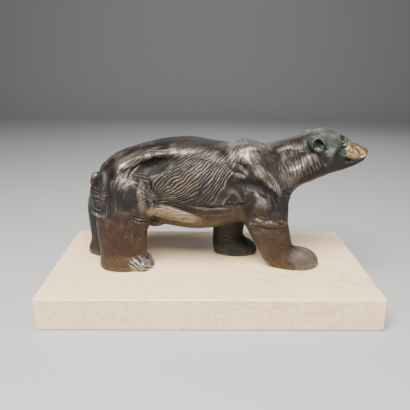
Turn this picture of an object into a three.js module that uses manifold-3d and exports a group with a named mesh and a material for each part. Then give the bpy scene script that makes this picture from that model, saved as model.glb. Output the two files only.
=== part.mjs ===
// A walking bear cast in spelter, on a sawn marble plinth.
// Millimetres, +Z up. The origin is under the middle of the plinth. The bear walks towards +X.
// The bear is one smooth shape of eggs and limbs, worked from both sides with ridges and hollows.

import * as THREE from "three";
import Module from "manifold-3d";
import { mergeVertices } from "three/addons/utils/BufferGeometryUtils.js";

// Driving dimensions
const PLINTH = { length: 300, width: 160, thickness: 30, chamfer: 1.6 };
const BEAR_OFFSET_Y = 4; // the bear stands a little behind the middle line
const FOOT_GAP = 0.3; // the thin bed of putty under the feet

// The grid on which the bear's surface is first found. Head and neck lie past front and over shoulder.
const CELL = { body: 2.6, side: 2.3, head: 1.7 };
const GRID = { rear: -130, front: 86, nose: 156, side: 46, low: -16, shoulder: 98, crown: 140 };
const GROUND = { length: 400, width: 200, depth: 40 };

// How the surface is thinned out
const BEAR_TRIANGLES = 9600;
const HEAD_CARE = 6; // the head's faces count for this many times their area
const LONG_EDGE_COST = 2e-3; // keeps the triangles even where the surface is flat
const LEAST_TURN_COSINE = 0.3;
const NEARLY_FLAT = 1e-4;

const NEAR = -1;
const FAR = 1;

// Shapes as distances in millimetres: positive outside the surface, negative inside

const toRadians = THREE.MathUtils.degToRad;

// The nearer of two shapes, with the angle between them filled over reach.
function blend(a, b, reach) {
  const h = Math.max(reach - Math.abs(a - b), 0) / reach;
  return Math.min(a, b) - (h * h * reach) / 4;
}

// An egg of three half-axes. pitch lifts its +x end, turn swings that end towards +y.
function egg([cx, cy, cz], [rx, ry, rz], { pitch = 0, turn = 0 } = {}) {
  const cp = Math.cos(toRadians(pitch));
  const sp = Math.sin(toRadians(pitch));
  const ct = Math.cos(toRadians(turn));
  const st = Math.sin(toRadians(turn));
  return (x, y, z) => {
    const dx = x - cx;
    const dy = y - cy;
    const dz = z - cz;
    const ax = ct * dx + st * dy;
    const v = ct * dy - st * dx;
    const u = cp * ax + sp * dz;
    const w = cp * dz - sp * ax;
    const k0 = Math.hypot(u / rx, v / ry, w / rz);
    const k1 = Math.hypot(u / (rx * rx), v / (ry * ry), w / (rz * rz));
    return k1 < 1e-9 ? -Math.min(rx, ry, rz) : (k0 * (k0 - 1)) / k1;
  };
}

// A limb that tapers between two round ends. flat under 1 thins it across y.
function limb([ax, ay, az], [bx, by, bz], ra, rb, flat = 1) {
  const dx = bx - ax;
  const dy = by - ay;
  const dz = bz - az;
  const span = dx * dx + dy * dy + dz * dz;
  return (x, y, z) => {
    const px = x - ax;
    const py = y - ay;
    const pz = z - az;
    const t = THREE.MathUtils.clamp((px * dx + py * dy + pz * dz) / span, 0, 1);
    return Math.hypot(px - t * dx, (py - t * dy) / flat, pz - t * dz) - (ra + (rb - ra) * t);
  };
}

// The smooth curve through one measure of the stations, at x.
function along(stations, key, x) {
  const last = stations.length - 1;
  let i = 0;
  while (i < last - 1 && x > stations[i + 1].x) i += 1;
  const slope = (j) => {
    const a = stations[Math.max(j - 1, 0)];
    const b = stations[Math.min(j + 1, last)];
    return (b[key] - a[key]) / (b.x - a.x);
  };
  const p = stations[i];
  const q = stations[i + 1];
  const h = q.x - p.x;
  const t = THREE.MathUtils.clamp((x - p.x) / h, 0, 1);
  const s = 1 - t;
  const ends = p[key] * (1 + 2 * t) * s * s + q[key] * (1 + 2 * s) * t * t;
  return ends + slope(i) * h * t * s * s - slope(i + 1) * h * s * t * t;
}

// A long body of rounded ovals, each widest at its waist.
function sectioned(stations, squareness) {
  const first = stations[0].x;
  const last = stations[stations.length - 1].x;
  return (x, y, z) => {
    const at = THREE.MathUtils.clamp(x, first, last);
    const waist = along(stations, "waist", at);
    const top = along(stations, "top", at);
    const rise = z > waist ? top - waist : waist - along(stations, "bottom", at);
    const u = Math.abs(y) / along(stations, "half", at);
    const v = Math.abs(z - waist) / rise;
    const k = Math.pow(Math.pow(u, squareness) + Math.pow(v, squareness), 1 / squareness);
    const d = k < 1e-6 ? -rise : Math.hypot(y, z - waist) * (1 - 1 / k);
    return Math.max(d, first - x, x - last);
  };
}

const mirrored = (shape) => (x, y, z) => shape(x, -Math.abs(y), z);

// A mark worked into a side, through stations [x, z, half width, rise], seen from that side.
// A rise under zero sinks a furrow. The mark comes in between two distances from the middle line.
function mark(stations, [fadeFrom, fadeTo], side, shift = 0) {
  const legs = stations.length === 1 ? [[stations[0], stations[0]]] : [];
  for (let i = 1; i < stations.length; i++) legs.push([stations[i - 1], stations[i]]);
  const widest = Math.max(...stations.map((s) => s[2]));
  const low = stations.map((s) => s[0]).reduce((a, b) => Math.min(a, b)) - widest;
  const high = stations.map((s) => s[0]).reduce((a, b) => Math.max(a, b)) + widest;
  return (x, y, z) => {
    const at = x - shift;
    if (at < low || at > high) return 0;
    const facing = THREE.MathUtils.smoothstep(y * side, fadeFrom, fadeTo);
    if (facing === 0) return 0;
    let strongest = 0;
    for (const [[ax, az, aw, ar], [bx, bz, bw, br]] of legs) {
      const [dx, dz] = [bx - ax, bz - az];
      const span = dx * dx + dz * dz || 1;
      const t = THREE.MathUtils.clamp(((at - ax) * dx + (z - az) * dz) / span, 0, 1);
      const near = Math.hypot(at - ax - t * dx, z - az - t * dz) / (aw + (bw - aw) * t);
      if (near >= 1) continue;
      const worth = (ar + (br - ar) * t) * (1 - near * near) ** 2;
      if (Math.abs(worth) > Math.abs(strongest)) strongest = worth;
    }
    return facing * strongest;
  };
}

// Sections from the rump to the breast, then from the neck to the nose. z is above the feet.
const TRUNK = [
  { x: -100, top: 94, bottom: 44, half: 24, waist: 70 },
  { x: -85, top: 107, bottom: 40, half: 31, waist: 72 },
  { x: -66, top: 115.5, bottom: 40, half: 33, waist: 74 },
  { x: -44, top: 121, bottom: 39, half: 33, waist: 76 },
  { x: -18, top: 123, bottom: 35, half: 36, waist: 76 },
  { x: 4, top: 119.5, bottom: 36, half: 36, waist: 78 },
  { x: 20, top: 116.5, bottom: 39, half: 33, waist: 78 },
  { x: 40, top: 116, bottom: 44, half: 28, waist: 78 },
  { x: 62, top: 112, bottom: 50, half: 22, waist: 80 },
];

const HEAD = [
  { x: 54, top: 115, bottom: 66, half: 24, waist: 92 },
  { x: 72, top: 122, bottom: 71.5, half: 21.5, waist: 97 },
  { x: 88, top: 127, bottom: 77.5, half: 19.5, waist: 102 },
  { x: 102, top: 131.6, bottom: 83.5, half: 18, waist: 108 },
  { x: 113, top: 129.8, bottom: 88.5, half: 16, waist: 109 },
  { x: 123, top: 125.5, bottom: 91.5, half: 12, waist: 108 },
  { x: 131, top: 120.5, bottom: 94.5, half: 9.6, waist: 107 },
  { x: 138, top: 118.5, bottom: 97.5, half: 8.2, waist: 107 },
  { x: 144, top: 115.2, bottom: 102, half: 5.8, waist: 108.5 },
];

// Each mass with the reach over which it melts into the rest
const TORSO_MASSES = [
  [egg([-78, 0, 73], [30, 31, 35]), 8], // pelvis
  [egg([-100, -12, 68], [12, 12.5, 18], { pitch: 12 }), 6], // near buttock
  [egg([-105, 13, 61], [12.5, 12.5, 20], { pitch: 8 }), 6], // far buttock
  [egg([54, 0, 74], [23.5, 22, 34]), 12], // breast
  [egg([140, 0, 108.5], [9, 6.3, 7], { pitch: -12 }), 4], // nose
  [limb([-100, 1, 86], [-109, 1, 78], 5.5, 4.4), 3], // tail
];

// A hind leg, with how far its thigh, shank and paw stand forward of the near leg's.
const hindLeg = (side, thigh, shank, paw) => [
  [egg([-78 + thigh, side * 18.5, 70], [22.5, 15, 28], { pitch: 8 }), 8],
  [egg([-75 + thigh, side * 23.5, 73], [12.5, 14, 17], { pitch: -10 }), 4], // knee
  [limb([-83 + shank, side * 18, 46], [-82.5 + shank, side * 18, 18], 24, 22.5, 0.62), 9],
  [egg([-82 + paw, side * 18, 3], [23.5, 16, 14]), 6],
];

const NEAR_FORELEG = [
  [egg([40, -16, 91], [21, 12.5, 28], { pitch: 10 }), 8], // shoulder blade
  [egg([51, -20, 70], [21, 12.5, 25], { pitch: -8 }), 8], // upper arm
  [egg([47, -25, 69], [10.5, 9, 12], { pitch: -8 }), 4.5], // elbow
  [limb([53, -19, 48], [65, -17, 16], 20, 15.5, 0.68), 8],
  [egg([84.5, -15, 3.5], [22, 14, 15.5]), 7],
];

const FAR_FORELEG = [
  [egg([39, 16, 90], [20, 12.5, 28], { pitch: 6 }), 8],
  [egg([37, 20, 66], [21, 12.5, 25]), 8],
  [egg([33, 25, 66], [10.5, 9, 12]), 4.5],
  [limb([22, 19, 50], [19, 18, 14], 17, 15, 0.8), 10],
  [egg([28, 17, 3], [22, 14, 14]), 7],
];

// The toes, outermost first: each from [x, y] under the ankle to [x, y] at its tip
const HIND_TOES = [
  [[-80, 28], [-64, 30]],
  [[-76, 24], [-60.5, 24.5]],
  [[-72, 18.5], [-59, 18]],
  [[-70, 13], [-60, 11]],
];

const toes = (side, shift) =>
  HIND_TOES.map(([[ax, ay], [bx, by]]) => [
    limb([ax + shift, side * ay, 12], [bx + shift, side * by, 4.5], 5.4, 4.6),
    1.2,
  ]);

const NEAR_HIND = hindLeg(NEAR, 0, 0, 0);
const FAR_THIGH = -9;
const FAR_SHANK = -16;
const FAR_PAW = -19;
const FAR_ARM = -8;
const FAR_HIND = hindLeg(FAR, FAR_THIGH, FAR_SHANK, FAR_PAW);
const EARS = [[mirrored(egg([95.5, -17.5, 119.5], [8, 4.5, 8.5], { turn: -12 })), 2.5]];
const EAR_CUP = mirrored(egg([96.5, -22.5, 119], [4.6, 4, 5.4]));

// Marks shared by both sides: the back's border, the flank and belly folds, the neck
const FLANK_FADE = [8, 18];
const FLANK_MARKS = [
  [[-82, 98, 7, 1], [-74, 103, 7, 1.8], [-66, 107, 6.5, 2.8], [-55, 110, 6.5, 3]],
  [[-55, 110, 6.5, 3], [-45, 112, 8, 2.2], [-34, 114, 9, 1.6]],
  [[-34, 114, 9, 1.6], [-10, 113, 10, 1.8], [3, 110, 10, 1.6], [16, 107, 9, 1]],
  [[-68, 92, 9, -1.6], [-57, 97.5, 11, -4.2], [-46, 101.5, 9, -4], [-36, 104, 8, -1.2]],
  [[-60, 88, 8, -2.6], [-56, 80, 8, -3], [-49, 75, 7, -1.8]],
  [[-48, 69, 5, -1.8], [-36, 68, 5.5, -2.4], [-24, 64, 5.5, -2.4], [-9, 58.5, 5.5, -2], [4, 54, 6, -1]],
  [[-30, 73, 4.5, -0.8], [-18, 69, 4.5, -1.4], [0, 65, 4.5, -1.4], [20, 66, 4.5, -1.4], [31, 67, 4.5, -1.2]],
  [[-46, 58, 8, 2.2], [-30, 55, 8, 2.6], [-10, 50, 8, 1.4]],
  [[-61, 76, 5, 1.2], [-54, 73, 5, 2], [-51, 66, 5, 2.2], [-55, 58, 5, 1.4]],
  [[-54, 49, 7, -2.4]],
];

const NECK_FADE = [5, 14];
const NECK_MARKS = [
  [[70, 106, 10, -2.8], [77, 104.5, 10, -3]],
  [[60, 116, 6, 1], [70, 118, 6, 1.4], [80, 116, 6, 1]],
  [[66, 97, 8, 1.2], [73, 89, 8, 2], [85, 94, 8, 1.6], [96, 101, 7, 1]],
];

const FACE_FADE = [1, 7];
const FACE_MARKS = [
  [[121, 124.5, 4, -1.8], [120, 120.5, 4, -2.2]],
  [[119.2, 121, 2.2, 1.8]],
  [[113, 125, 6, 0.8], [119, 127, 5, 1.2]],
  [[120, 114.5, 6, -1.2], [116, 106, 6, -0.8]],
  [[108, 112, 9, 1.4]],
  [[131, 114, 6, 1.2]],
  [[126, 104.2, 4, -2.2], [132, 105.2, 2.6, -1.6], [138, 107.8, 2.4, -1.4]],
  [[138, 107.8, 2.4, -1.4], [143, 110.5, 2, -0.8]],
  [[122, 108, 3.4, 0.8]],
  [[144, 113.6, 1.8, -0.8]],
];

const LEG_FADE = [3, 12];
const HIND_MARKS = [
  [[-80, 100, 6, 1], [-83, 94, 6, 1.2], [-84, 87, 6, 0.8]],
  [[-90, 100, 6, -1.2], [-92, 84, 6.5, -2.4], [-92, 62, 6.5, -2.2]],
  [[-90, 55, 6, -1.2], [-78, 52, 7, -1.8], [-68, 54, 6, -2]],
];

const RUMP_MARKS = [
  [[-117, 56, 4, 0.8], [-108, 56, 4, 1.6], [-98, 53.5, 4, 0.6]],
  [[-117, 49, 5, -0.8], [-106, 49, 5, -1.4]],
];

const FORE_MARKS = [
  [[19, 116, 6, 1], [34, 118, 6, 1.4], [45, 117, 6, 1.4], [53, 111, 6, 1.6], [59, 104, 6, 1]],
  [[27, 112, 8, 1], [39, 101.5, 8, 2], [49, 92, 8, 2.2], [61, 80.5, 7, 1.6]],
  [[19, 105, 7, -1.4], [26, 102, 7.5, -2.6], [33, 96.5, 6, -1.6]],
  [[19, 95, 6.5, 1], [28, 92, 6.5, 1]],
  [[21, 84, 9, -1.4], [32, 86, 9, -2.6], [42, 83, 9, -3.2], [51, 76.5, 8, -3], [57, 70, 6, -1.6]],
  [[61, 106, 7, -1.4], [67, 96, 7, -2.4], [70, 86, 7, -2]],
  [[71, 74, 6, 0.8], [71, 55, 6, 1]],
  [[58, 72, 5, -1], [61, 60, 6, -1.8]],
  [[38, 48, 4, 1], [47, 50.5, 4, 1.4], [57, 49.5, 4, 1.4], [64, 46.5, 4, 1.4], [71, 49, 4, 1]],
  [[39, 42.5, 4, -1.4], [50, 44, 4, -1.8], [62, 41, 4, -1.2]],
  [[29, 66, 4.5, -1.2], [34, 60, 5, -2], [38, 53, 5, -2.2]],
];

const marksOn = (side) => [
  ...FLANK_MARKS.map((m) => mark(m, FLANK_FADE, side)),
  ...NECK_MARKS.map((m) => mark(m, NECK_FADE, side)),
  ...FACE_MARKS.map((m) => mark(m, FACE_FADE, side)),
  ...RUMP_MARKS.map((m) => mark(m, LEG_FADE, side)),
  ...HIND_MARKS.map((m) => mark(m, LEG_FADE, side, side === FAR ? FAR_THIGH : 0)),
  ...FORE_MARKS.map((m) => mark(m, LEG_FADE, side, side === FAR ? FAR_ARM : 0)),
];

function bearShape() {
  const masses = [
    [sectioned(HEAD, 2.1), 10],
    ...TORSO_MASSES,
    ...NEAR_HIND,
    ...FAR_HIND,
    ...NEAR_FORELEG,
    ...FAR_FORELEG,
    ...EARS,
    ...toes(NEAR, 0),
    ...toes(FAR, FAR_PAW),
  ];
  const marks = [...marksOn(NEAR), ...marksOn(FAR)];
  const trunk = sectioned(TRUNK, 2.2);
  return (x, y, z) => {
    let d = trunk(x, y, z);
    for (const [mass, reach] of masses) d = blend(d, mass(x, y, z), reach);
    if (Math.abs(d) > 8) return d;
    for (const rise of marks) d -= rise(x, y, z);
    return -blend(-d, EAR_CUP(x, y, z), 1.2);
  };
}

function lines(a, b, step) {
  const n = Math.round((b - a) / step);
  return Array.from({ length: n + 1 }, (_, i) => a + ((b - a) * i) / n);
}

// A grid cell is six four-cornered pieces round its long diagonal. A corner's bits are its x, y, z.
const CORNERS = [0, 1, 2, 3, 4, 5, 6, 7];
const PIECES = [
  [0, 4, 6, 7],
  [0, 2, 3, 7],
  [0, 1, 5, 7],
  [0, 5, 4, 7],
  [0, 6, 2, 7],
  [0, 3, 1, 7],
];

// The ways to turn such a piece round without mirroring it.
const TURNS = [
  [0, 1, 2, 3], [0, 2, 3, 1], [0, 3, 1, 2], [1, 0, 3, 2], [1, 2, 0, 3], [1, 3, 2, 0],
  [2, 0, 1, 3], [2, 1, 3, 0], [2, 3, 0, 1], [3, 0, 2, 1], [3, 1, 0, 2], [3, 2, 1, 0],
];

// The faces, as pairs of corners, that part one, two or three inner corners from the others.
const PARTINGS = {
  1: [[[0, 1], [0, 2], [0, 3]]],
  2: [[[0, 2], [0, 3], [1, 3]], [[0, 2], [1, 3], [1, 2]]],
  3: [[[3, 0], [3, 1], [3, 2]]],
};

// The closed surface of a shape, found on a grid.
function surfaceOf(shape, xs, ys, zs) {
  const [ny, nz] = [ys.length, zs.length];
  const node = (i, j, k) => (i * ny + j) * nz + k;
  const place = (n) => {
    const row = Math.floor(n / nz);
    return new THREE.Vector3(xs[Math.floor(row / ny)], ys[row % ny], zs[n % nz]);
  };
  const values = new Float64Array(xs.length * ny * nz);
  for (let n = 0; n < values.length; n++) values[n] = shape(...place(n).toArray());

  const points = [];
  const pointOn = new Map();
  const crossing = (m, n) => {
    const key = Math.min(m, n) * values.length + Math.max(m, n);
    if (!pointOn.has(key)) {
      pointOn.set(key, points.length);
      points.push(place(m).lerp(place(n), values[m] / (values[m] - values[n])));
    }
    return pointOn.get(key);
  };

  const triangles = [];
  const inner = (n) => values[n] < 0;
  const visit = (i, j, k) => {
    const corners = CORNERS.map((c) => node(i + (c >> 2), j + ((c >> 1) & 1), k + (c & 1)));
    const count = corners.filter(inner).length;
    if (count === 0 || count === 8) return;
    for (const piece of PIECES) {
      const four = piece.map((c) => corners[c]);
      const within = four.filter(inner).length;
      if (within === 0 || within === 4) continue;
      const turn = TURNS.find((t) => t.every((c, at) => inner(four[c]) === at < within));
      for (const face of PARTINGS[within])
        triangles.push(...face.map(([p, q]) => crossing(four[turn[p]], four[turn[q]])));
    }
  };
  for (let i = 0; i < xs.length - 1; i++) {
    for (let j = 0; j < ny - 1; j++) {
      for (let k = 0; k < nz - 1; k++) visit(i, j, k);
    }
  }
  return { points, triangles };
}

// Fewer triangles where the surface is flattest

// The squared distance to the planes round a point, as the ten numbers of a symmetric matrix.
function planeError(a, b, c) {
  const normal = new THREE.Vector3().crossVectors(b.clone().sub(a), c.clone().sub(a));
  const area = normal.length();
  const { x, y, z } = normal.normalize();
  const d = -normal.dot(a);
  const care = a.x > GRID.front ? HEAD_CARE * area : area;
  return [x * x, x * y, x * z, x * d, y * y, y * z, y * d, z * z, z * d, d * d].map((v) => v * care);
}

const errorAt = (q, { x, y, z }) =>
  q[0] * x * x + 2 * q[1] * x * y + 2 * q[2] * x * z + 2 * q[3] * x + q[4] * y * y +
  2 * q[5] * y * z + 2 * q[6] * y + q[7] * z * z + 2 * q[8] * z + q[9];

// The point of least error, or null where the planes don't settle it.
function leastError(q) {
  const m = new THREE.Matrix3().set(q[0], q[1], q[2], q[1], q[4], q[5], q[2], q[5], q[7]);
  const scale = q[0] + q[4] + q[7];
  if (Math.abs(m.determinant()) < NEARLY_FLAT * scale ** 3) return null;
  return new THREE.Vector3(-q[3], -q[6], -q[8]).applyMatrix3(m.invert());
}

// A queue that gives back its cheapest entry first.
class CheapestFirst {
  constructor() {
    this.heap = [];
  }

  push(entry) {
    const heap = this.heap;
    let i = heap.push(entry) - 1;
    while (i > 0) {
      const parent = (i - 1) >> 1;
      if (heap[parent].cost <= heap[i].cost) break;
      [heap[parent], heap[i]] = [heap[i], heap[parent]];
      i = parent;
    }
  }

  pop() {
    const heap = this.heap;
    const best = heap[0];
    const last = heap.pop();
    if (!heap.length) return best;
    heap[0] = last;
    let i = 0;
    for (;;) {
      let child = 2 * i + 1;
      if (child >= heap.length) break;
      if (child + 1 < heap.length && heap[child + 1].cost < heap[child].cost) child += 1;
      if (heap[i].cost <= heap[child].cost) break;
      [heap[child], heap[i]] = [heap[i], heap[child]];
      i = child;
    }
    return best;
  }
}

// Edges are closed up one by one, the least harmful first, until few enough triangles are left.
function simplified({ points, triangles }, target) {
  const faces = [];
  for (let i = 0; i < triangles.length; i += 3) faces.push(triangles.slice(i, i + 3));
  const facesAt = points.map(() => new Set());
  const errors = points.map(() => new Array(10).fill(0));
  faces.forEach((face, f) => {
    const plane = planeError(...face.map((v) => points[v]));
    for (const v of face) {
      facesAt[v].add(f);
      plane.forEach((value, i) => (errors[v][i] += value));
    }
  });
  const version = new Uint32Array(points.length);
  const neighbours = (v) => {
    const found = new Set();
    for (const f of facesAt[v]) for (const w of faces[f]) if (w !== v) found.add(w);
    return found;
  };
  const queue = new CheapestFirst();
  const offer = (a, b) => {
    const q = errors[a].map((value, i) => value + errors[b][i]);
    const middle = points[a].clone().lerp(points[b], 0.5);
    const length = points[a].distanceTo(points[b]);
    let place = leastError(q);
    if (!place || place.distanceTo(middle) > length) {
      const options = [middle, points[a], points[b]];
      place = options.reduce((best, p) => (errorAt(q, p) < errorAt(q, best) ? p : best)).clone();
    }
    const cost = errorAt(q, place) + LONG_EDGE_COST * length ** 4;
    queue.push({ a, b, cost, place, stamp: [version[a], version[b]] });
  };
  const turnsOver = (v, gone, place) => {
    for (const f of facesAt[v]) {
      const face = faces[f];
      if (face.includes(gone)) continue;
      const [p, q, r] = face.map((w) => points[w]);
      const [p2, q2, r2] = face.map((w) => (w === v ? place : points[w]));
      const before = new THREE.Vector3().crossVectors(q.clone().sub(p), r.clone().sub(p));
      const after = new THREE.Vector3().crossVectors(q2.clone().sub(p2), r2.clone().sub(p2));
      if (before.dot(after) < LEAST_TURN_COSINE * before.length() * after.length()) return true;
    }
    return false;
  };

  for (const [a, b, c] of faces) {
    if (a < b) offer(a, b);
    if (b < c) offer(b, c);
    if (c < a) offer(c, a);
  }
  let left = faces.length;
  while (left > target && queue.heap.length) {
    const { a, b, place, stamp } = queue.pop();
    if (version[a] !== stamp[0] || version[b] !== stamp[1]) continue;
    const round = neighbours(a);
    const shared = [...neighbours(b)].filter((v) => round.has(v));
    if (shared.length !== 2 || turnsOver(a, b, place) || turnsOver(b, a, place)) continue;
    for (const f of [...facesAt[b]]) {
      if (faces[f].includes(a)) {
        for (const v of faces[f]) facesAt[v].delete(f);
        faces[f] = null;
        left -= 1;
      } else {
        faces[f] = faces[f].map((v) => (v === b ? a : v));
        facesAt[a].add(f);
      }
    }
    facesAt[b].clear();
    points[a] = place;
    errors[a] = errors[a].map((value, i) => value + errors[b][i]);
    version[a] += 1;
    version[b] += 1;
    for (const v of neighbours(a)) offer(a, v);
  }
  return { points, triangles: faces.filter(Boolean).flat() };
}

const wasm = await Module();
wasm.setup();

function solid({ points, triangles }) {
  const vertProperties = new Float32Array(points.flatMap((p) => p.toArray()));
  const mesh = new wasm.Mesh({ numProp: 3, vertProperties, triVerts: new Uint32Array(triangles) });
  return new wasm.Manifold(mesh);
}

function surface(geometry) {
  const bare = geometry.clone();
  bare.deleteAttribute("normal");
  bare.deleteAttribute("uv");
  const merged = mergeVertices(bare, 1e-4);
  const position = merged.attributes.position;
  const points = Array.from({ length: position.count }, (_, i) =>
    new THREE.Vector3().fromBufferAttribute(position, i),
  );
  return { points, triangles: [...merged.index.array] };
}

function geometryOf(body) {
  const { vertProperties, triVerts } = body.getMesh();
  return new THREE.BufferGeometry()
    .setAttribute("position", new THREE.BufferAttribute(vertProperties, 3))
    .setIndex(new THREE.BufferAttribute(triVerts, 1));
}

function bearGeometry() {
  const { rear, front, nose, side, low, shoulder, crown } = GRID;
  const xs = [...lines(rear, front, CELL.body).slice(0, -1), ...lines(front, nose, CELL.head)];
  const ys = lines(-side, side, CELL.side);
  const zs = [...lines(low, shoulder, CELL.body).slice(0, -1), ...lines(shoulder, crown, CELL.head)];
  const whole = solid(surfaceOf(bearShape(), xs, ys, zs));
  const { length, width, depth } = GROUND;
  const block = new THREE.BoxGeometry(length, width, depth).translate(0, 0, -depth / 2);
  const standing = surface(geometryOf(whole.subtract(solid(surface(block)))));
  const light = simplified(standing, BEAR_TRIANGLES);
  for (const p of light.points) p.z = Math.max(p.z, 0);
  return geometryOf(solid(light));
}

function plinthGeometry() {
  const c = PLINTH.chamfer;
  const [l, w] = [PLINTH.length / 2 - c, PLINTH.width / 2 - c];
  const face = new THREE.Shape([
    new THREE.Vector2(-l, -w),
    new THREE.Vector2(l, -w),
    new THREE.Vector2(l, w),
    new THREE.Vector2(-l, w),
  ]);
  return new THREE.ExtrudeGeometry(face, {
    depth: PLINTH.thickness - 2 * c,
    bevelEnabled: true,
    bevelThickness: c,
    bevelSize: c,
    bevelSegments: 1,
  }).translate(0, 0, c);
}

const spelter = new THREE.MeshStandardMaterial({ color: 0x3a302b, roughness: 0.38, metalness: 0.7 });
const marble = new THREE.MeshStandardMaterial({ color: 0xdccbb2, roughness: 0.45, metalness: 0 });

const bear = new THREE.Mesh(bearGeometry(), spelter);
bear.name = "bear";
bear.position.set(0, BEAR_OFFSET_Y, PLINTH.thickness + FOOT_GAP);

const plinth = new THREE.Mesh(plinthGeometry(), marble);
plinth.name = "plinth";

export default new THREE.Group().add(plinth, bear);
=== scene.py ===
"""A walking bear cast in spelter on a marble plinth, worked and finished for a close view."""

import math

import bmesh
import bpy
import numpy as np
from mathutils import Matrix, Vector
from mathutils.bvhtree import BVHTree


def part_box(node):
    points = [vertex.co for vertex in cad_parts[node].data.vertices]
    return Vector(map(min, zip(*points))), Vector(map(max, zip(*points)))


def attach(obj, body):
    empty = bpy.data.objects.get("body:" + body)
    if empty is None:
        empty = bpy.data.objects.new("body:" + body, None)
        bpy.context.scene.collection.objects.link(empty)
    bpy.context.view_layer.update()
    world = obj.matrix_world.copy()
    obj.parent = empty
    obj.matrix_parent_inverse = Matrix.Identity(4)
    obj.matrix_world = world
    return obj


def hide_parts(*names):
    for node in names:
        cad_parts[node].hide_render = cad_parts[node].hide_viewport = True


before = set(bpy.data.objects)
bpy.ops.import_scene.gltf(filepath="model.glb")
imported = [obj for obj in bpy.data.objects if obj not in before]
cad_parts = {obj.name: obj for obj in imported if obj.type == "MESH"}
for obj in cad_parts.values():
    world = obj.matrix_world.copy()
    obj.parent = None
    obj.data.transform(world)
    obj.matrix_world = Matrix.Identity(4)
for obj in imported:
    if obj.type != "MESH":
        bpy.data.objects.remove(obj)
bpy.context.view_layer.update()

bl_info = {
    "name": "Spelter Bear",
    "version": (1, 0, 0),
    "blender": (4, 5, 0),
    "location": "3D View > Sidebar > Bear",
    "description": "A walking bear cast in spelter on a marble plinth",
    "category": "Object",
}

MM = 0.001
NEAR = -1
FAR = 1
BOTH_SIDES = (NEAR, FAR)

# Seeds of the noises that move the locks, part them into tufts and jitter the tool's strokes
SLOW_SEED, TUFT_SEED, QUICK_SEED, STROKE_SEED = 3, 5, 8, 11

# A hand's unevenness in single strokes: root in millimetres, turn and bend in degrees, share of the length
ROOT_JITTER = 0.8
TURN_JITTER = 5
BEND_JITTER = 7
LENGTH_RANGE = (0.7, 1.15)
RISE_RANGE = (0.7, 1.2)
STROKE_SWELL = (0.2, 0.9, 1.0, 0.8, 0.1)

# How far the far side's thigh, arm and hind paw stand back from the near side's, in millimetres
FAR_THIGH, FAR_ARM, FAR_PAW = -9, -8, -19

# The middle between the feet, from which the clay is measured in millimetres
FEET = np.array([0.0, 4.0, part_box("bear")[0].z / MM])
PLINTH_LOW, PLINTH_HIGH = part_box("plinth")

# Marks worked into the sides, through stations (x, z, half width, rise) in millimetres above the feet.
# A rise under zero cuts in. Broad marks have a round top, keen ones a sharp crest.

TORSO_BROAD = [
    [(-82, 100, 4, 0.4), (-74, 104.4, 4.5, 1.3), (-65, 108.4, 4.5, 1.8),
     (-55, 111.4, 5, 1.7), (-44, 111.5, 6, 0.7)],
    [(-44, 111, 7, 0.3), (-30, 115, 8, 0.5), (-10, 115, 8, 0.4), (8, 111, 8, 0.3)],
    [(-66, 96, 7, -0.8), (-58, 99, 9, -2.4), (-49, 102, 9, -2.6), (-38, 105, 7, -0.9)],
    [(-89, 84, 8, 0.9), (-79, 87, 9, 1.6), (-70, 86, 7, 1.2)],
    [(-84, 74, 10, -1.2), (-76, 68, 11, -1.6), (-70, 75, 8, -0.9)],
    [(-68, 87, 5, 0.9), (-64, 81, 5, 1.5), (-61, 74, 5, 1.7), (-60, 67, 5, 1.5), (-62, 59, 4.5, 0.9)],
    [(-58, 92, 5, -0.8), (-55, 84, 5, -1.3), (-52, 77, 5, -0.9)],
    [(-95, 96, 4, -0.6), (-93, 89, 4, -1.0), (-92, 82, 4, -1.1),
     (-92, 74, 4, -0.8), (-93, 66, 4, -0.4)],
    [(-48, 59, 7, 0.8), (-34, 56.5, 7, 0.9), (-18, 52, 6, 0.5)],
    [(-20, 100, 14, 0.6), (-8, 88, 16, 0.8)],
]

SHOULDER_BROAD = [
    [(34, 107, 5, 0.6), (40, 98, 5, 1.2), (46, 91, 5, 1.3), (53, 85, 4.5, 1.1), (60, 79, 4, 0.5)],
    [(21, 101, 5, -1.0), (26, 100, 5, -1.6), (31, 97, 4.5, -1.0)],
    [(18, 97, 4, 0.5), (24, 94, 4.4, 0.9), (30, 92, 4, 0.5)],
    [(26, 87, 5, -0.6), (35, 85, 5.5, -1.2), (43, 83, 5.5, -1.5),
     (51, 78, 5.5, -1.5), (58, 74, 5, -1.0)],
    [(48, 100, 5, -0.5), (53, 95, 5, -1.0), (58, 87, 5, -0.8)],
    [(48, 67.5, 9, 1.6)],
    [(39, 76, 3.6, -0.9), (37.5, 66, 3.6, -1.1), (41, 56, 3.6, -0.9)],
]

NECK_BROAD = [
    [(66, 105, 6, -0.7), (75, 104, 8, -1.6), (83, 108, 6, -0.9)],
    [(59, 109, 5, 0.6), (64, 101, 5, 0.9), (68, 93, 5, 1.1), (71, 86, 5, 0.8)],
    [(71, 94, 5, 0.8), (80, 99, 5.5, 1.2), (91, 106, 5.5, 1.0)],
    [(88, 97, 5, -0.8), (95, 101, 5, -0.9)],
]

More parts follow.
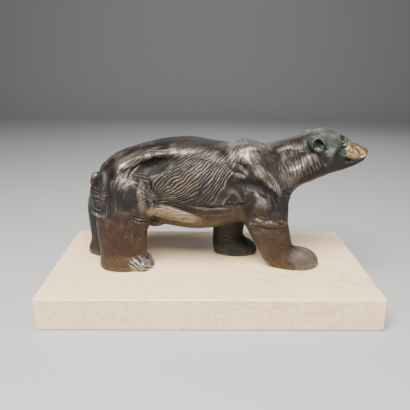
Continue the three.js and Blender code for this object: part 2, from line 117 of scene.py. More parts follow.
TORSO_KEEN = [
    [(-81, 101.4, 3, 0.4), (-74, 104.4, 2.8, 0.8), (-65, 108.2, 2.8, 1.0),
     (-56, 111, 3, 0.8), (-47, 111, 3, 0.2)],
    [(-81, 101, 3, 0.5), (-82, 96, 3.4, 0.5), (-81, 91, 3, 0.2)],
    [(-56, 70, 2.0, -0.4), (-46, 67.5, 2.0, -1.1), (-36, 65.5, 2.0, -1.2),
     (-22, 60.5, 2.0, -1.1), (-8, 55.5, 2, -0.4)],
    [(-50, 66, 2.0, 0.4), (-40, 64.2, 2.0, 0.6), (-28, 61, 2.0, 0.6), (-16, 56.5, 2.0, 0.4)],
    [(-44, 72.5, 1.8, 0.2), (-30, 69.5, 2.0, 0.5), (-14, 64, 2.0, 0.5),
     (2, 62, 2.0, 0.5), (20, 64, 2.0, 0.4)],
    [(-36, 70.5, 1.8, -0.4), (-18, 66.4, 2.0, -0.9), (2, 64.4, 2.0, -0.9),
     (20, 66.5, 2.0, -0.9), (31, 67, 2.0, -0.4)],
    [(-20, 58, 1.8, 0.3), (-6, 56.5, 1.8, 0.4), (10, 57, 1.8, 0.4), (26, 58.5, 1.8, 0.3)],
    [(-62, 76, 1.8, 0.3), (-57, 74, 1.8, 0.7), (-52, 69, 1.8, 0.8),
     (-53, 62, 1.8, 0.7), (-58, 57, 1.8, 0.5)],
    [(-59, 72, 1.6, -0.4), (-56, 68, 1.6, -0.7), (-56, 62, 1.6, -0.5)],
    [(-57, 53, 2, 0.5), (-53, 59, 2, 0.8), (-48, 62.6, 2, 0.7), (-41, 62.6, 2, 0.4)],
    [(-52, 54.5, 1.6, -0.5), (-46, 50.5, 1.8, -1.0), (-34, 47.5, 1.8, -1.0), (-18, 47.5, 1.6, -0.5)],
]

RUMP_KEEN = [
    [(-118, 54.5, 1.8, 0.9), (-110, 55, 2.2, 1.6), (-100, 54, 1.8, 0.9)],
    [(-118, 60, 1.8, 0.6), (-108, 60.5, 2.0, 0.9), (-100, 59.5, 1.8, 0.6)],
    [(-118, 57.3, 1.5, -0.8), (-108, 57.8, 1.6, -1.1), (-99, 57, 1.5, -0.6)],
    [(-117, 51, 1.8, -0.9), (-109, 51.4, 2.0, -1.3), (-101, 50.5, 1.6, -0.6)],
]

HIND_KEEN = [
    [(-72, 58.5, 1.4, 0.5), (-66, 55, 1.5, 0.9), (-60, 54, 1.5, 0.9)],
    [(-71, 56.8, 1.2, -0.5), (-65.5, 53.2, 1.3, -0.9), (-59, 52, 1.3, -0.7)],
    [(-72, 55, 1.4, 0.4), (-65, 51.2, 1.5, 0.9), (-58, 50.5, 1.5, 0.8)],
    [(-71, 52.6, 1.2, -0.4), (-65, 49.6, 1.3, -0.8), (-58.5, 48.6, 1.3, -0.5)],
    [(-70, 50.4, 1.2, 0.3), (-65, 47.8, 1.3, 0.6), (-59, 46.6, 1.3, 0.4)],
]

FORE_KEEN = [
    [(33, 108, 3, 0.3), (40, 98.4, 3, 0.9), (46, 91.4, 3, 1.1),
     (53, 85, 2.8, 1.2), (60.5, 78.6, 2.2, 0.7)],
    [(40, 90, 2.2, -0.3), (47, 85.5, 2.4, -0.9), (54, 80, 2.4, -1.0), (60, 74, 2.2, -0.5)],
    [(19, 104, 2.4, -0.4), (26, 102.6, 2.6, -0.9), (32, 99, 2.4, -0.4)],
    [(34, 74, 2.2, -0.5), (34.5, 66, 2.4, -0.8), (38, 57, 2.2, -0.6)],
    [(57, 76, 2.4, -0.4), (59.5, 68, 2.6, -0.8), (57, 60, 2.4, -0.6)],
    [(37, 50.5, 1.8, 0.5), (42, 52.4, 2.2, 1.2), (49, 50, 2.0, 0.8),
     (56, 50.4, 2.2, 1.3), (62, 48, 2, 0.9)],
    [(60, 50, 1.8, 0.4), (66, 50.6, 2.2, 1.1), (71, 47.5, 1.8, 0.6)],
    [(39, 46.6, 1.5, -0.6), (47, 45.6, 1.6, -1.0), (54, 42.8, 1.6, -1.0),
     (60, 43.8, 1.6, -0.9), (70, 43, 1.5, -0.3)],
    [(44, 55, 1.4, 0.4), (49, 54.4, 1.5, 0.6), (54, 55.2, 1.4, 0.4)],
    [(27, 70, 1.6, 0.5), (32, 66, 1.8, 0.9), (36, 60, 1.8, 0.7)],
    [(70, 78, 1.4, 0.4), (74, 76.6, 1.6, 0.9), (77, 77, 1.4, 0.5)],
    [(69, 74.6, 1.4, 0.4), (73, 73, 1.6, 0.9), (76, 73.4, 1.4, 0.5)],
    [(69, 71, 1.4, 0.4), (72, 69.6, 1.6, 0.8), (75, 69.8, 1.4, 0.4)],
]

THROAT_KEEN = [
    [(79, 101, 1.4, 0.2), (81, 97, 1.6, 1.2), (84.5, 91, 1.4, 0.3)],
    [(82.5, 103.5, 1.4, 0.2), (84.5, 99, 1.7, 1.5), (88.5, 92.5, 1.4, 0.4)],
    [(86, 105, 1.4, 0.2), (88, 100, 1.7, 1.7), (92.5, 92.5, 1.4, 0.4)],
    [(89.5, 106, 1.4, 0.2), (91.5, 101.5, 1.7, 1.7), (96, 94.5, 1.4, 0.4)],
    [(92.5, 107, 1.4, 0.2), (94.6, 102.5, 1.6, 1.6), (98.5, 96.5, 1.4, 0.4)],
    [(96.5, 107, 1.3, 0.2), (98.4, 103, 1.5, 1.2), (101.5, 98.5, 1.3, 0.3)],
    [(100, 104, 2.2, -0.5), (102.5, 100, 2.2, -0.9), (104.5, 96.5, 2, -0.4)],
    [(104.5, 102, 3.2, 0.4), (107.5, 98.5, 3.2, 1.0), (109, 96, 2.6, 0.4)],
]

FACE_BROAD = [
    [(121.5, 120.4, 4.6, -1.3)],
    [(112, 127, 5, 0.4), (117, 125, 4.5, 1.0), (119, 120.5, 3.4, 0.9), (118.5, 116.5, 3, 0.3)],
    [(122.5, 115.2, 4, -0.9), (118, 109.5, 6, -0.9), (121, 103.5, 5, -0.8)],
    [(128.2, 119, 3, 0.6), (128.6, 113.5, 3, 0.7), (128.2, 109, 3, 0.4)],
    [(133.6, 110.4, 5.8, 1.7)],
    [(133, 106.3, 2.8, 1.2), (138, 108.8, 2.6, 1.2), (143.4, 111, 2.2, 0.8)],
]

FACE_KEEN = [
    [(117.6, 123.6, 1.5, 0.5), (119.0, 121.6, 1.6, 1.0),
     (119.2, 119.4, 1.5, 0.8), (119.6, 117.6, 1.4, 0.3)],
    [(120.4, 121.6, 1.5, -0.6), (122.0, 122.2, 1.7, -1.2),
     (124.2, 122.2, 1.5, -0.8), (126, 120.8, 1.3, -0.4)],
    [(119.8, 117.4, 1.3, 0.5), (122.4, 117.2, 1.4, 1.0),
     (125, 118.2, 1.4, 1.0), (127.6, 119.8, 1.3, 0.6)],
    [(121.5, 115.2, 1.6, -0.5), (124.4, 115.6, 1.6, -0.7)],
    [(129.8, 113.0, 1.4, -0.4), (132.6, 115.6, 1.5, -0.6),
     (136.8, 114.4, 1.5, -0.6), (139.4, 110.8, 1.4, -0.4)],
    [(126.4, 104.6, 3.0, -1.6), (129.4, 103.2, 2.4, -1.2)],
    [(129.4, 102.8, 1.5, -1.0), (134, 102.8, 1.4, -1.1),
     (139, 105.6, 1.3, -1.1), (144, 109.2, 1.2, -0.7)],
    [(123.4, 107.6, 1.4, 0.7), (126.6, 109.4, 1.5, 0.9), (130, 109.2, 1.4, 0.6)],
    [(124.2, 105.4, 1.2, 0.4), (127.6, 107.0, 1.4, 0.9),
     (130.6, 105.4, 1.4, 0.9), (132.2, 103.6, 1.2, 0.5)],
    [(126.4, 103.4, 1.0, 0.6), (127.6, 102.8, 1.0, 0.6)],
    [(144.6, 112.2, 1.4, -0.9)],
]

EAR_KEEN = [
    [(95.8, 121.8, 3.6, -1.9), (98.6, 119.6, 3.4, -2.1),
     (101.6, 117.4, 3.0, -1.9), (104.0, 115.0, 2.6, -1.3)],
    [(86.6, 121.5, 2.0, -0.6), (87.2, 116.5, 2.2, -1.2),
     (90.6, 112.2, 2.2, -1.4), (97.5, 110.6, 2.2, -0.9)],
]

# Single strokes of the modelling tool: rooted evenly from one (x, z) to another, so many, so long, turned
# from one angle to another in degrees, and so wide either side and so high
TOOL_STROKES = [
    ((-70, 97), (-66, 80), 8, 16, -16, -26, 1.15, -0.75),
    ((-78, 99.5), (-60, 103.5), 9, 13, -126, -136, 1.1, -0.6),
    ((-52, 109.5), (-38, 107.5), 8, 5, -96, -104, 0.9, -0.6),
    ((-92, 87), (-69, 89.5), 12, 11, -62, -132, 1.05, -0.5),
    ((-88, 79), (-64, 78), 11, 17, -80, -104, 1.1, -0.45),
    ((-110, 80), (-109, 63), 9, 12, -8, 6, 1.1, -0.6),
    ((-97, 80), (-96, 63), 6, 7, -30, 10, 1.0, -0.5),
    ((-94, 50), (-64, 47), 15, 26, -88, -94, 0.9, -0.3),
    ((-100, 26), (-90, 3), 7, 22, -14, 4, 1.0, -0.3),
    ((-83, 38), (-69, 39), 9, 3.4, -64, -78, 0.8, -0.5),
    ((-82, 33), (-70, 34), 8, 3.0, -60, -76, 0.8, -0.45),
    ((44, 41), (62, 9), 15, 21, -4, 12, 1.0, -0.38),
    ((12, 47), (12, 10), 13, 15, 4, -10, 1.2, -0.9),
    ((-48, 62), (-18, 55), 14, 8, -128, -136, 0.9, -0.3),
    ((-4, 61), (28, 62), 9, 9, -100, -84, 1.0, -0.25),
    ((62, 104), (70, 84), 13, 9, -80, -88, 0.9, 0.45),
    ((70, 97), (86, 103), 10, 9, -82, -66, 0.9, 0.55),
]

# Swellings and dents felt all round: (x, y, z, radius, rise), the same on both sides
SWELLINGS = [
    (88, 0, 80, 12, -2.8),
    (100, 0, 87, 11, -1.4),
    (141.5, 0, 117, 6.5, -1.5),
    (147.5, 0, 105, 6.5, -1.8),
    (148, 0, 111.5, 3.2, 0.9),
    (112, 0, 88, 12, -0.6),
]

# Furrows between the toes, as (x, z) seen from the side or (y, z) seen from the front
HIND_TOE_FURROWS = [
    [(-77, 10.5, 1.5, -0.5), (-71, 6.5, 1.6, -1.2), (-66.5, 1.5, 1.6, -0.8)],
    [(-73, 12.5, 1.5, -0.5), (-67.5, 7.5, 1.6, -1.3), (-62.5, 1.8, 1.6, -0.9)],
    [(-68.5, 13.5, 1.5, -0.4), (-63.5, 8.5, 1.6, -1.1), (-59, 2.5, 1.6, -0.9)],
]

FORE_TOE_FURROWS = [
    [(6, 11, 1.8, -0.3), (5.5, 5, 2, -1.1), (5.5, 0, 2, -1.0)],
    [(13, 12, 1.8, -0.3), (13, 5, 2, -1.2), (13, 0, 2, -1.1)],
    [(20, 11, 1.8, -0.3), (20.5, 5, 2, -1.1), (20.5, 0, 2, -1.0)],
]

# How the hair lies: lines (x, z) from root to tip on the near side, in millimetres above the feet
HAIR_LAY = [
    [(-24, 113), (-30, 108), (-38, 101), (-47, 96), (-54, 89)],
    [(-10, 112), (-18, 105), (-28, 97), (-40, 90), (-49, 81)],
    [(-1, 113), (-10, 104), (-20, 95), (-30, 89), (-40, 82), (-47, 76)],
    [(5, 110), (-4, 99), (-14, 89), (-23, 80), (-30, 75), (-36, 73)],
    [(16, 110), (7, 101), (-1, 92), (-10, 82), (-17, 75), (-23, 72)],
    [(22, 104), (13, 98), (4, 88), (-2, 78), (-10, 69)],
    [(24, 98), (16, 90), (9, 80), (3, 72), (-4, 65)],
    [(27, 88), (26, 79), (21, 72), (15, 66)],
    [(-56, 111), (-66, 104), (-75, 96)],
    [(-68, 107), (-80, 99), (-87, 92)],
    [(-66, 99), (-59, 93), (-54, 86)],
    [(-68, 91), (-60, 83), (-56, 76)],
    [(-72, 90), (-80, 84), (-87, 77)],
    [(-75, 82), (-80, 71), (-83, 60)],
    [(-63, 80), (-66, 69), (-70, 59)],
    [(-96, 94), (-102, 81), (-104, 67)],
    [(-89, 91), (-92, 78), (-93, 65)],
    [(-90, 52), (-89, 35), (-87, 17)],
    [(-70, 50), (-71, 35), (-71, 21)],
    [(0, 53), (-20, 57), (-38, 59), (-52, 60)],
    [(32, 60), (13, 61), (-6, 61)],
    [(31, 116), (25, 107), (21, 98)],
    [(36, 115), (45, 102), (55, 88)],
    [(45, 116), (56, 104), (65, 87)],
    [(24, 92), (35, 85), (46, 76)],
    [(31, 81), (34, 68), (40, 55)],
    [(46, 78), (50, 67), (54, 53)],
    [(63, 82), (66, 67), (68, 51)],
    [(50, 41), (57, 28), (64, 15)],
    [(66, 41), (71, 28), (77, 18)],
    [(61, 114), (66, 99), (70, 85)],
    [(72, 117), (76, 105), (79, 90)],
    [(83, 109), (86, 101), (90, 93)],
    [(92, 111), (96, 103), (101, 97)],
    [(105, 106), (109, 101), (113, 96)],
    [(106, 124), (102, 115), (98, 108)],
    [(122, 122), (112, 127), (100, 129)],
    [(20, 26), (22, 13), (28, 4)],
]

# Where the hair is cut deep: (x, z, half length, half height, turn in degrees, depth)
HAIR_DEPTH = [
    (-20, 90, 42, 22, 40, 1.0),
    (2, 84, 26, 26, 45, 1.0),
    (-44, 86, 18, 12, 30, 0.9),
    (14, 103, 18, 12, 0, 0.8),
    (24, 80, 12, 16, 0, 0.4),
    (-72, 98, 14, 8, 40, 0.25),
    (-102, 72, 14, 22, 0, 0.25),
    (-78, 66, 20, 18, 0, 0.2),
    (-80, 30, 22, 28, 0, 0.15),
    (-28, 57, 34, 8, -6, 0.12),
    (26, 110, 12, 10, 0, 0.5),
    (44, 98, 24, 22, 0, 0.3),
    (48, 68, 20, 20, 0, 0.4),
    (70, 98, 16, 22, 0, 0.5),
    (90, 101, 18, 9, 0, 0.4),
    (62, 32, 20, 22, 0, 0.15),
    (22, 30, 18, 34, 0, 0.3),
]

# Colour zones, among them painted shade and painted highlight: (x, z, half length, half height, turn in
# degrees, strength)
ZONES = {
    "green": [(109, 121, 24, 13, -6, 1.0), (96, 123, 13, 10, 0, 0.8)],
    "gold": [(137, 111.5, 13.5, 8.2, -30, 1.0), (129, 113, 5, 9, 0, 0.7)],
    "chestnut": [
        (-80, 24, 34, 36, 0, 1.0),
        (66, 24, 34, 32, 24, 0.9),
        (18, 58, 42, 9, 4, 1.0),
        (18, 24, 26, 34, 0, 0.35),
        (-30, 44, 60, 12, 0, 0.8),
        (52, 56, 18, 10, 0, 0.5),
    ],
    "olive": [(-34, 56.5, 25, 7.5, -12, 1.0), (-52, 59, 6, 6, 0, 0.9)],
    "brass": [(-24, 86, 26, 9, 44, 1.0), (-40, 86, 14, 8, 38, 0.5), (-56, 62, 6, 8, 0, 0.7)],
    "sole": [(-84, 5, 26, 12, 0, 1.0), (72, 6, 16, 10, 0, 0.6)],
    "silver": [(-65, 5, 12, 9, -40, 1.0)],
    "steel": [(93, 9, 20, 11, -24, 1.0)],
    # Painted shade: darker patches where the hollows, the creases, the thigh's underside, the back's top,
    # the jaw and the far foreleg lie in shade
    "painted_shade": [
        (-54, 99, 13, 8, 24, 1.0),
        (-60, 90, 7, 9, 0, 0.5),
        (-77, 71, 13, 10, 0, 0.9),
        (-92, 82, 4, 16, 0, 0.8),
        (-16, 71, 26, 5, -18, 0.6),
        (-12, 64, 30, 4, -12, 0.6),
        (27, 100, 7, 4, 0, 0.9),
        (40, 84, 17, 5, -20, 0.9),
        (35, 66, 5, 14, 0, 0.9),
        (59, 68, 4, 12, 0, 0.6),
        (53, 94, 5, 11, -60, 0.4),
        (75, 104, 10, 5, 10, 0.9),
        (70, 66, 12, 16, 0, 0.7),
        (92, 90, 16, 5, 28, 0.9),
        (112, 97, 16, 6, 20, 0.8),
        (134, 100, 15, 3.6, 22, 1.0),
        (128, 103.4, 3, 2.2, 0, 1.0),
        (-20, 125, 74, 8, -2, 1.0),
        (50, 126, 30, 6, 0, 0.6),
        (118, 110, 9, 7, 0, 0.5),
        (112, 132, 16, 4, -8, 0.7),
        (138, 120, 12, 2.2, -33, 1.0),
        (90, 116, 5, 9, 20, 0.7),
        (24, 24, 26, 34, 0, 0.7),
        (-50, 50, 5, 6, 0, 0.8),
    ],
    "jaw": [(134, 99.6, 16, 4.6, 22, 1.0)],
    # Painted highlight: paler, more metallic patches where the crest, the back, the shoulder and the neck
    # catch the light
    "painted_highlight": [
        (-66, 107, 24, 5, 20, 0.9),
        (-30, 114, 30, 3.4, 4, 0.5),
        (4, 110, 16, 5, -14, 0.5),
        (72, 98, 12, 20, 0, 0.7),
        (86, 103, 14, 7, 30, 0.8),
        (28, 110, 16, 12, 0, 0.9),
        (50, 90, 22, 6, -46, 0.9),
        (-79, 87, 12, 5, 0, 0.7),
        (-62, 74, 4, 16, 0, 0.8),
    ],
}
FAR_PAW_GREEN = (34, 6, 24, 14, 0, 1.0)


def smoothstep(low, high, value):
    t = np.clip((value - low) / (high - low), 0.0, 1.0)
    return t * t * (3.0 - 2.0 * t)


def scrambled(cells, seed):
    """One settled number from 0 to 1 for each whole-numbered cell."""
    mixed = np.full(cells.shape[0], seed * 2654435761 % 4294967296, np.uint64)
    for column in cells.astype(np.int64).astype(np.uint64).T:
        mixed = (mixed ^ (column * np.uint64(0x9E3779B1))) & np.uint64(0xFFFFFFFF)
        mixed = (mixed ^ (mixed >> np.uint64(15))) * np.uint64(0x85EBCA77) & np.uint64(0xFFFFFFFF)
        mixed = mixed ^ (mixed >> np.uint64(13))
    return mixed.astype(float) / 4294967296.0


def wander(places, seed):
    """Smooth noise from -1 to 1 over places of any number of columns."""
    base = np.floor(places)
    part = places - base
    part = part * part * (3.0 - 2.0 * part)
    total = np.zeros(len(places))
    columns = places.shape[1]
    for corner in range(2**columns):
        step = np.array([(corner >> axis) & 1 for axis in range(columns)])
        weight = np.prod(np.where(step == 1, part, 1.0 - part), axis=1)
        total += weight * scrambled(base + step, seed)
    return 2.0 * total - 1.0


def round_top(near):
    return (1.0 - near * near) ** 2


def sharp_top(near):
    return (1.0 - near) ** 1.5


def worked(places, stations, profile):
    """The height that a mark through the stations gives each place of the plane it is seen in."""
    stations = [np.array(station, float) for station in stations]
    if len(stations) == 1:
        stations = stations * 2
    height = np.zeros(len(places))
    for start, end in zip(stations[:-1], stations[1:]):
        widest = max(start[2], end[2])
        low = np.minimum(start[:2], end[:2]) - widest
        high = np.maximum(start[:2], end[:2]) + widest
        close = np.flatnonzero(np.all((places > low) & (places < high), axis=1))
        if not len(close):
            continue
        leg = end[:2] - start[:2]
        span = max(float(leg @ leg), 1e-9)
        t = np.clip((places[close] - start[:2]) @ leg / span, 0.0, 1.0)
        gap = np.linalg.norm(places[close] - start[:2] - t[:, None] * leg, axis=1)
        near = np.minimum(gap / (start[2] + (end[2] - start[2]) * t), 1.0)
        value = (start[3] + (end[3] - start[3]) * t) * profile(near)
        stronger = np.abs(value) > np.abs(height[close])
        height[close] = np.where(stronger, value, height[close])
    return height


def patch(places, x, z, half_length, half_height, turn, strength):
    """A soft-edged oval, full inside and fading out past its edge."""
    angle = math.radians(turn)
    dx = places[:, 0] - x
    dz = places[:, 1] - z
    u = (dx * math.cos(angle) + dz * math.sin(angle)) / half_length
    v = (dz * math.cos(angle) - dx * math.sin(angle)) / half_height
    return strength * (1.0 - smoothstep(0.5, 1.3, np.hypot(u, v)))


def tool_marks(rows, seed):
    """The stations of every single stroke that the rows describe, with a hand's unevenness."""
    hand = np.random.default_rng(seed)
    marks = []
    for start, end, count, length, turn_from, turn_to, half_width, rise in rows:
        for step in range(count):
            t = (step + hand.uniform(0.2, 0.8)) / count
            x = start[0] + (end[0] - start[0]) * t + hand.uniform(-ROOT_JITTER, ROOT_JITTER)
            z = start[1] + (end[1] - start[1]) * t + hand.uniform(-ROOT_JITTER, ROOT_JITTER)
            turn = turn_from + (turn_to - turn_from) * t
            angle = math.radians(turn + hand.uniform(-TURN_JITTER, TURN_JITTER))
            leg = length * hand.uniform(*LENGTH_RANGE) / (len(STROKE_SWELL) - 1)
            bend = math.radians(hand.uniform(-BEND_JITTER, BEND_JITTER))
            strength = rise * hand.uniform(*RISE_RANGE)
            stations = []
            for share in STROKE_SWELL:
                stations.append((x, z, half_width * (0.7 + 0.3 * share), strength * share))
                x += leg * math.cos(angle)
                z += leg * math.sin(angle)
                angle += bend
            marks.append(stations)
    return marks


class Clay:
    """A closed surface to work on, in millimetres from the middle between the feet."""

    def __init__(self, mesh):
        co = np.empty(len(mesh.vertices) * 3)
        mesh.vertices.foreach_get("co", co)
        self.points = co.reshape(-1, 3) / MM - FEET
        mesh.calc_loop_triangles()
        corners = np.empty(len(mesh.loop_triangles) * 3, np.int64)
        mesh.loop_triangles.foreach_get("vertices", corners)
        self.triangles = corners.reshape(-1, 3)
        ends = np.empty(len(mesh.edges) * 2, np.int64)
        mesh.edges.foreach_get("vertices", ends)
        self.edges = ends.reshape(-1, 2)
        both = np.concatenate([self.edges, self.edges[:, ::-1]])
        self.start, self.end = both[:, 0], both[:, 1]
        self.degree = np.bincount(self.start, minlength=len(self.points))[:, None]

    def summed(self, index, values):
        count = len(self.points)
        return np.stack([np.bincount(index, values[:, k], count) for k in range(values.shape[1])], axis=1)

    def normals(self):
        a, b, c = (self.points[self.triangles[:, k]] for k in range(3))
        face = np.cross(b - a, c - a)
        total = sum(self.summed(self.triangles[:, k], face) for k in range(3))
        return total / np.maximum(np.linalg.norm(total, axis=1, keepdims=True), 1e-12)

    def around(self, values):
        """The mean of each point's neighbours."""
        return self.summed(self.start, values[self.end]) / self.degree

    def smooth(self, rounds, keep=0.53):
        """Wears the facets off without shrinking the whole."""
        for _ in range(rounds):
            for share in (0.5, -keep):
                self.points += share * (self.around(self.points) - self.points)

    def push(self, heights):
        self.points += heights[:, None] * self.normals()

    def tree(self):
        return BVHTree.FromPolygons(self.points.tolist(), self.triangles.tolist())

    def write(self, mesh):
        placed = (self.points + FEET) * MM
        mesh.vertices.foreach_set("co", placed.ravel())
        mesh.update()


def side_seen(clay, normals, marks, profile, fade, side=None, turn_from=-0.35, turn_to=0.2):
    """Heights of marks seen from the sides. They come in between two distances from the middle."""
    places = clay.points[:, [0, 2]]
    out = clay.points[:, 1]
    heights = np.zeros(len(places))
    sides = BOTH_SIDES if side is None else (side,)
    for way in sides:
        facing = smoothstep(*fade, out * way) * smoothstep(turn_from, turn_to, normals[:, 1] * way)
        shown = np.flatnonzero(facing > 0.0)
        for stations in marks:
            heights[shown] += facing[shown] * worked(places[shown], stations, profile)
    return heights


def swelling(clay, rows):
    """Heights of round swellings and dents, on both sides of the middle."""
    heights = np.zeros(len(clay.points))
    folded_over = clay.points * (1, 0, 1) + np.abs(clay.points) * (0, 1, 0)
    for x, y, z, radius, rise in rows:
        near = np.linalg.norm(folded_over - (x, y, z), axis=1) / radius
        heights += rise * round_top(np.minimum(near, 1.0))
    return heights


# Meshes

def mesh_object(name, mesh):
    made = bpy.data.objects.new(name, mesh)
    bpy.context.scene.collection.objects.link(made)
    return made


def remade(source, grain, extras=()):
    """The outer skin of a mesh and of the unit balls set into it by their matrices, on an even grid."""
    form = bmesh.new()
    form.from_mesh(source)
    bmesh.ops.remove_doubles(form, verts=form.verts, dist=1e-6)
    for matrix in extras:
        bmesh.ops.create_icosphere(form, subdivisions=3, radius=1.0, matrix=matrix)
    joined = bpy.data.meshes.new("joined")
    form.to_mesh(joined)
    form.free()
    holder = mesh_object("holder", joined)
    remesh = holder.modifiers.new("Remesh", "REMESH")
    remesh.mode = "VOXEL"
    remesh.voxel_size = grain
    made = settled(holder)
    bpy.data.objects.remove(holder)
    return made


def settled(holder):
    """The plain mesh that an object's modifiers give."""
    graph = bpy.context.evaluated_depsgraph_get()
    graph.update()
    return bpy.data.meshes.new_from_object(holder.evaluated_get(graph))


def thinned(mesh, faces):
    """The same surface with about so many triangles."""
    mesh.calc_loop_triangles()
    holder = mesh_object("holder", mesh)
    holder.modifiers.new("Triangles", "TRIANGULATE")
    decimate = holder.modifiers.new("Thin", "DECIMATE")
    decimate.ratio = min(1.0, faces / len(mesh.loop_triangles))
    made = settled(holder)
    bpy.data.objects.remove(holder)
    return made


def at(x, y, z):
    return Vector(((np.array([x, y, z]) + FEET) * MM).tolist())


def egg_at(place, radii, axes=Matrix.Identity(3)):
    """Where a unit ball goes to become an egg of these half axes."""
    scale = Matrix.Diagonal(Vector([r * MM for r in radii]))
    return Matrix.Translation(at(*place)) @ (axes @ scale).to_4x4()


# The eyes, ears, claws and folds that are set into the clay: places and half axes in millimetres

EYE_PLACE = (122.2, 120.0)
EYE_RADII = (1.9, 1.6, 1.5)
EYE_SINK = 0.5

EAR_MIDDLE = (95.6, 20.6, 120.2)
EAR_REACH = (5.2, 5.7)
EAR_SLANT = -0.10
RIM_BALLS = 24
RIM_FROM, RIM_SWEEP = -122, 186
RIM_THICK, RIM_TAPER = 1.0, 0.3
EAR_LOBE = (95.8, 20.2, 115.4)
LOBE_RADII = (4.0, 1.9, 2.1)

CLAW_TIPS = ((-60.5, 29.8), (-57, 24.6), (-55.6, 18), (-56.6, 11.2))
CLAW_HEIGHT = 2.6
CLAW_RADII = (3.4, 1.5, 1.6)
CLAW_LEAN = 32

# The skin that hangs between the hind legs, and the tail's root and tip
HANGING = [
    ((-52, 0, 45.5), (14, 20, 9.0)),
    ((-107.5, -2, 83), (5.4, 5.0, 6.4)),
    ((-110.5, -2, 79.5), (3.6, 4.2, 4.8)),
]


def eye_bodies(tree):
    x, z = EYE_PLACE
    bodies = []
    for side in BOTH_SIDES:
        place = tree.ray_cast(Vector((x, 60.0 * side, z)), Vector((0.0, -side, 0.0)))[0]
        bodies.append(egg_at((x, place.y - EYE_SINK * side, z), EYE_RADII))
    return bodies


def ear_bodies():
    """Each ear's rolled rim, as an arc of small balls open towards the cheek, with the lobe below it."""
    bodies = []
    for side in BOTH_SIDES:
        for step in range(RIM_BALLS):
            share = step / (RIM_BALLS - 1)
            angle = math.radians(RIM_FROM + share * RIM_SWEEP)
            ahead = EAR_REACH[0] * math.sin(angle)
            z = EAR_MIDDLE[2] + EAR_REACH[1] * math.cos(angle)
            y = side * (EAR_MIDDLE[1] + EAR_SLANT * ahead)
            thick = RIM_THICK - RIM_TAPER * share
            bodies.append(egg_at((EAR_MIDDLE[0] + ahead, y, z), (thick, thick, thick)))
        bodies.append(egg_at((EAR_LOBE[0], side * EAR_LOBE[1], EAR_LOBE[2]), LOBE_RADII))
    return bodies


def claw_bodies():
    """Short blunt claws at the tips of the hind toes."""
    lean = Matrix.Rotation(math.radians(CLAW_LEAN), 3, "Y")
    bodies = []
    for side, shift in ((NEAR, 0), (FAR, FAR_PAW)):
        for x, y in CLAW_TIPS:
            bodies.append(egg_at((x + shift, side * y, CLAW_HEIGHT), CLAW_RADII, lean))
    return bodies


def fold_bodies():
    return [egg_at(place, radii) for place, radii in HANGING]


# The lie of the hair, found from the guide lines

def hair_samples(tree):
    """Points along the guide lines on the near side, with the way the hair lies and the way across it."""
    points, along, across = [], [], []
    for line in HAIR_LAY:
        for (ax, az), (bx, bz) in zip(line[:-1], line[1:]):
            count = max(1, round(math.dist((ax, az), (bx, bz)) / 6.0))
            for step in range(count):
                t = (step + 0.5) / count
                x, z = ax + (bx - ax) * t, az + (bz - az) * t
                place, normal, _, _ = tree.ray_cast(Vector((x, -80.0, z)), Vector((0.0, 1.0, 0.0)))
                if place is None:
                    continue
                way = Vector((bx - ax, 0.0, bz - az))
                way = (way - way.dot(normal) * normal).normalized()
                points.append(place)
                along.append(way)
                across.append(normal.cross(way))
    return np.array(points), np.array(along), np.array(across)


def folded(points):
    """Both sides brought onto the near side, meeting smoothly over the middle line."""
    near = points.copy()
    near[:, 1] = -np.sqrt(points[:, 1] ** 2 + 4.0)
    return near


class Comb:
    """Two smooth measures over the body: one grows across the hair and one along it."""

    def __init__(self, tree):
        self.centres, along, across = hair_samples(tree)
        count = len(self.centres)
        gap = self.centres[:, None, :] - self.centres[None, :, :]
        slope = 3.0 * np.linalg.norm(gap, axis=2)[:, :, None] * gap
        flat = np.broadcast_to(np.eye(3), (count, 3, 3))

        def rows(ways):
            return np.concatenate(
                [np.einsum("ijk,ik->ij", slope, ways) / 3000.0, np.einsum("iab,ib->ia", flat, ways)], axis=1
            )

        steady = 0.02 * np.eye(count + 3)
        steady[count:] = 0.0
        system = np.concatenate([3.0 * rows(along), rows(across), steady])
        wanted = np.concatenate([np.zeros(count), np.ones(count), np.zeros(count + 3)])
        self.across = np.linalg.lstsq(system, wanted, rcond=None)[0]
        system = np.concatenate([3.0 * rows(across), rows(along), steady])
        self.along = np.linalg.lstsq(system, wanted, rcond=None)[0]

    def measures(self, points):
        near = folded(points)
        found = np.empty((len(near), 2))
        for first in range(0, len(near), 20000):
            part = near[first : first + 20000]
            gap = np.linalg.norm(part[:, None, :] - self.centres[None, :, :], axis=2)
            basis = np.concatenate([gap**3 / 3000.0, part], axis=1)
            found[first : first + 20000, 0] = basis @ self.across
            found[first : first + 20000, 1] = basis @ self.along
        return found


def hair_depth(points, normals):
    """How deep the hair is cut, from 0 on the smooth back, head and paws to 1 on the flank."""
    places = points[:, [0, 2]]
    depth = np.full(len(points), 0.12)
    for spot in HAIR_DEPTH:
        depth = np.maximum(depth, patch(places, *spot))
    depth *= 1.0 - 0.85 * smoothstep(0.45, 0.85, normals[:, 2])
    depth *= smoothstep(2.0, 10.0, points[:, 2])
    depth *= 1.0 - smoothstep(100.0, 108.0, points[:, 0]) * 0.9
    return depth


# How the locks wander across the hair: (share of a lock, length and width in millimetres, seed)
LOCK_WANDER = ((0.9, 26.0, 12.0, SLOW_SEED), (0.4, 7.0, 4.0, QUICK_SEED))
TUFT_LENGTH = 9.0


def strand_phase(comb, width):
    """Counts the locks across the hair, with the wandering of a hand-cut furrow."""
    across, along = comb[:, 0], comb[:, 1]
    phase = across / width
    for amount, long, wide, seed in LOCK_WANDER:
        phase = phase + amount * wander(np.stack([along / long, across / wide], axis=1), seed)
    return phase


def lock_strength(phase, along):
    """How strongly each lock's crest stands at each place along it, from 0 to 1."""
    strand = np.round(phase)
    tuft = wander(np.stack([along / TUFT_LENGTH + 7.3 * strand, 0.37 * strand], axis=1), TUFT_SEED)
    return np.clip(0.55 + 0.75 * tuft, 0.05, 1.1)


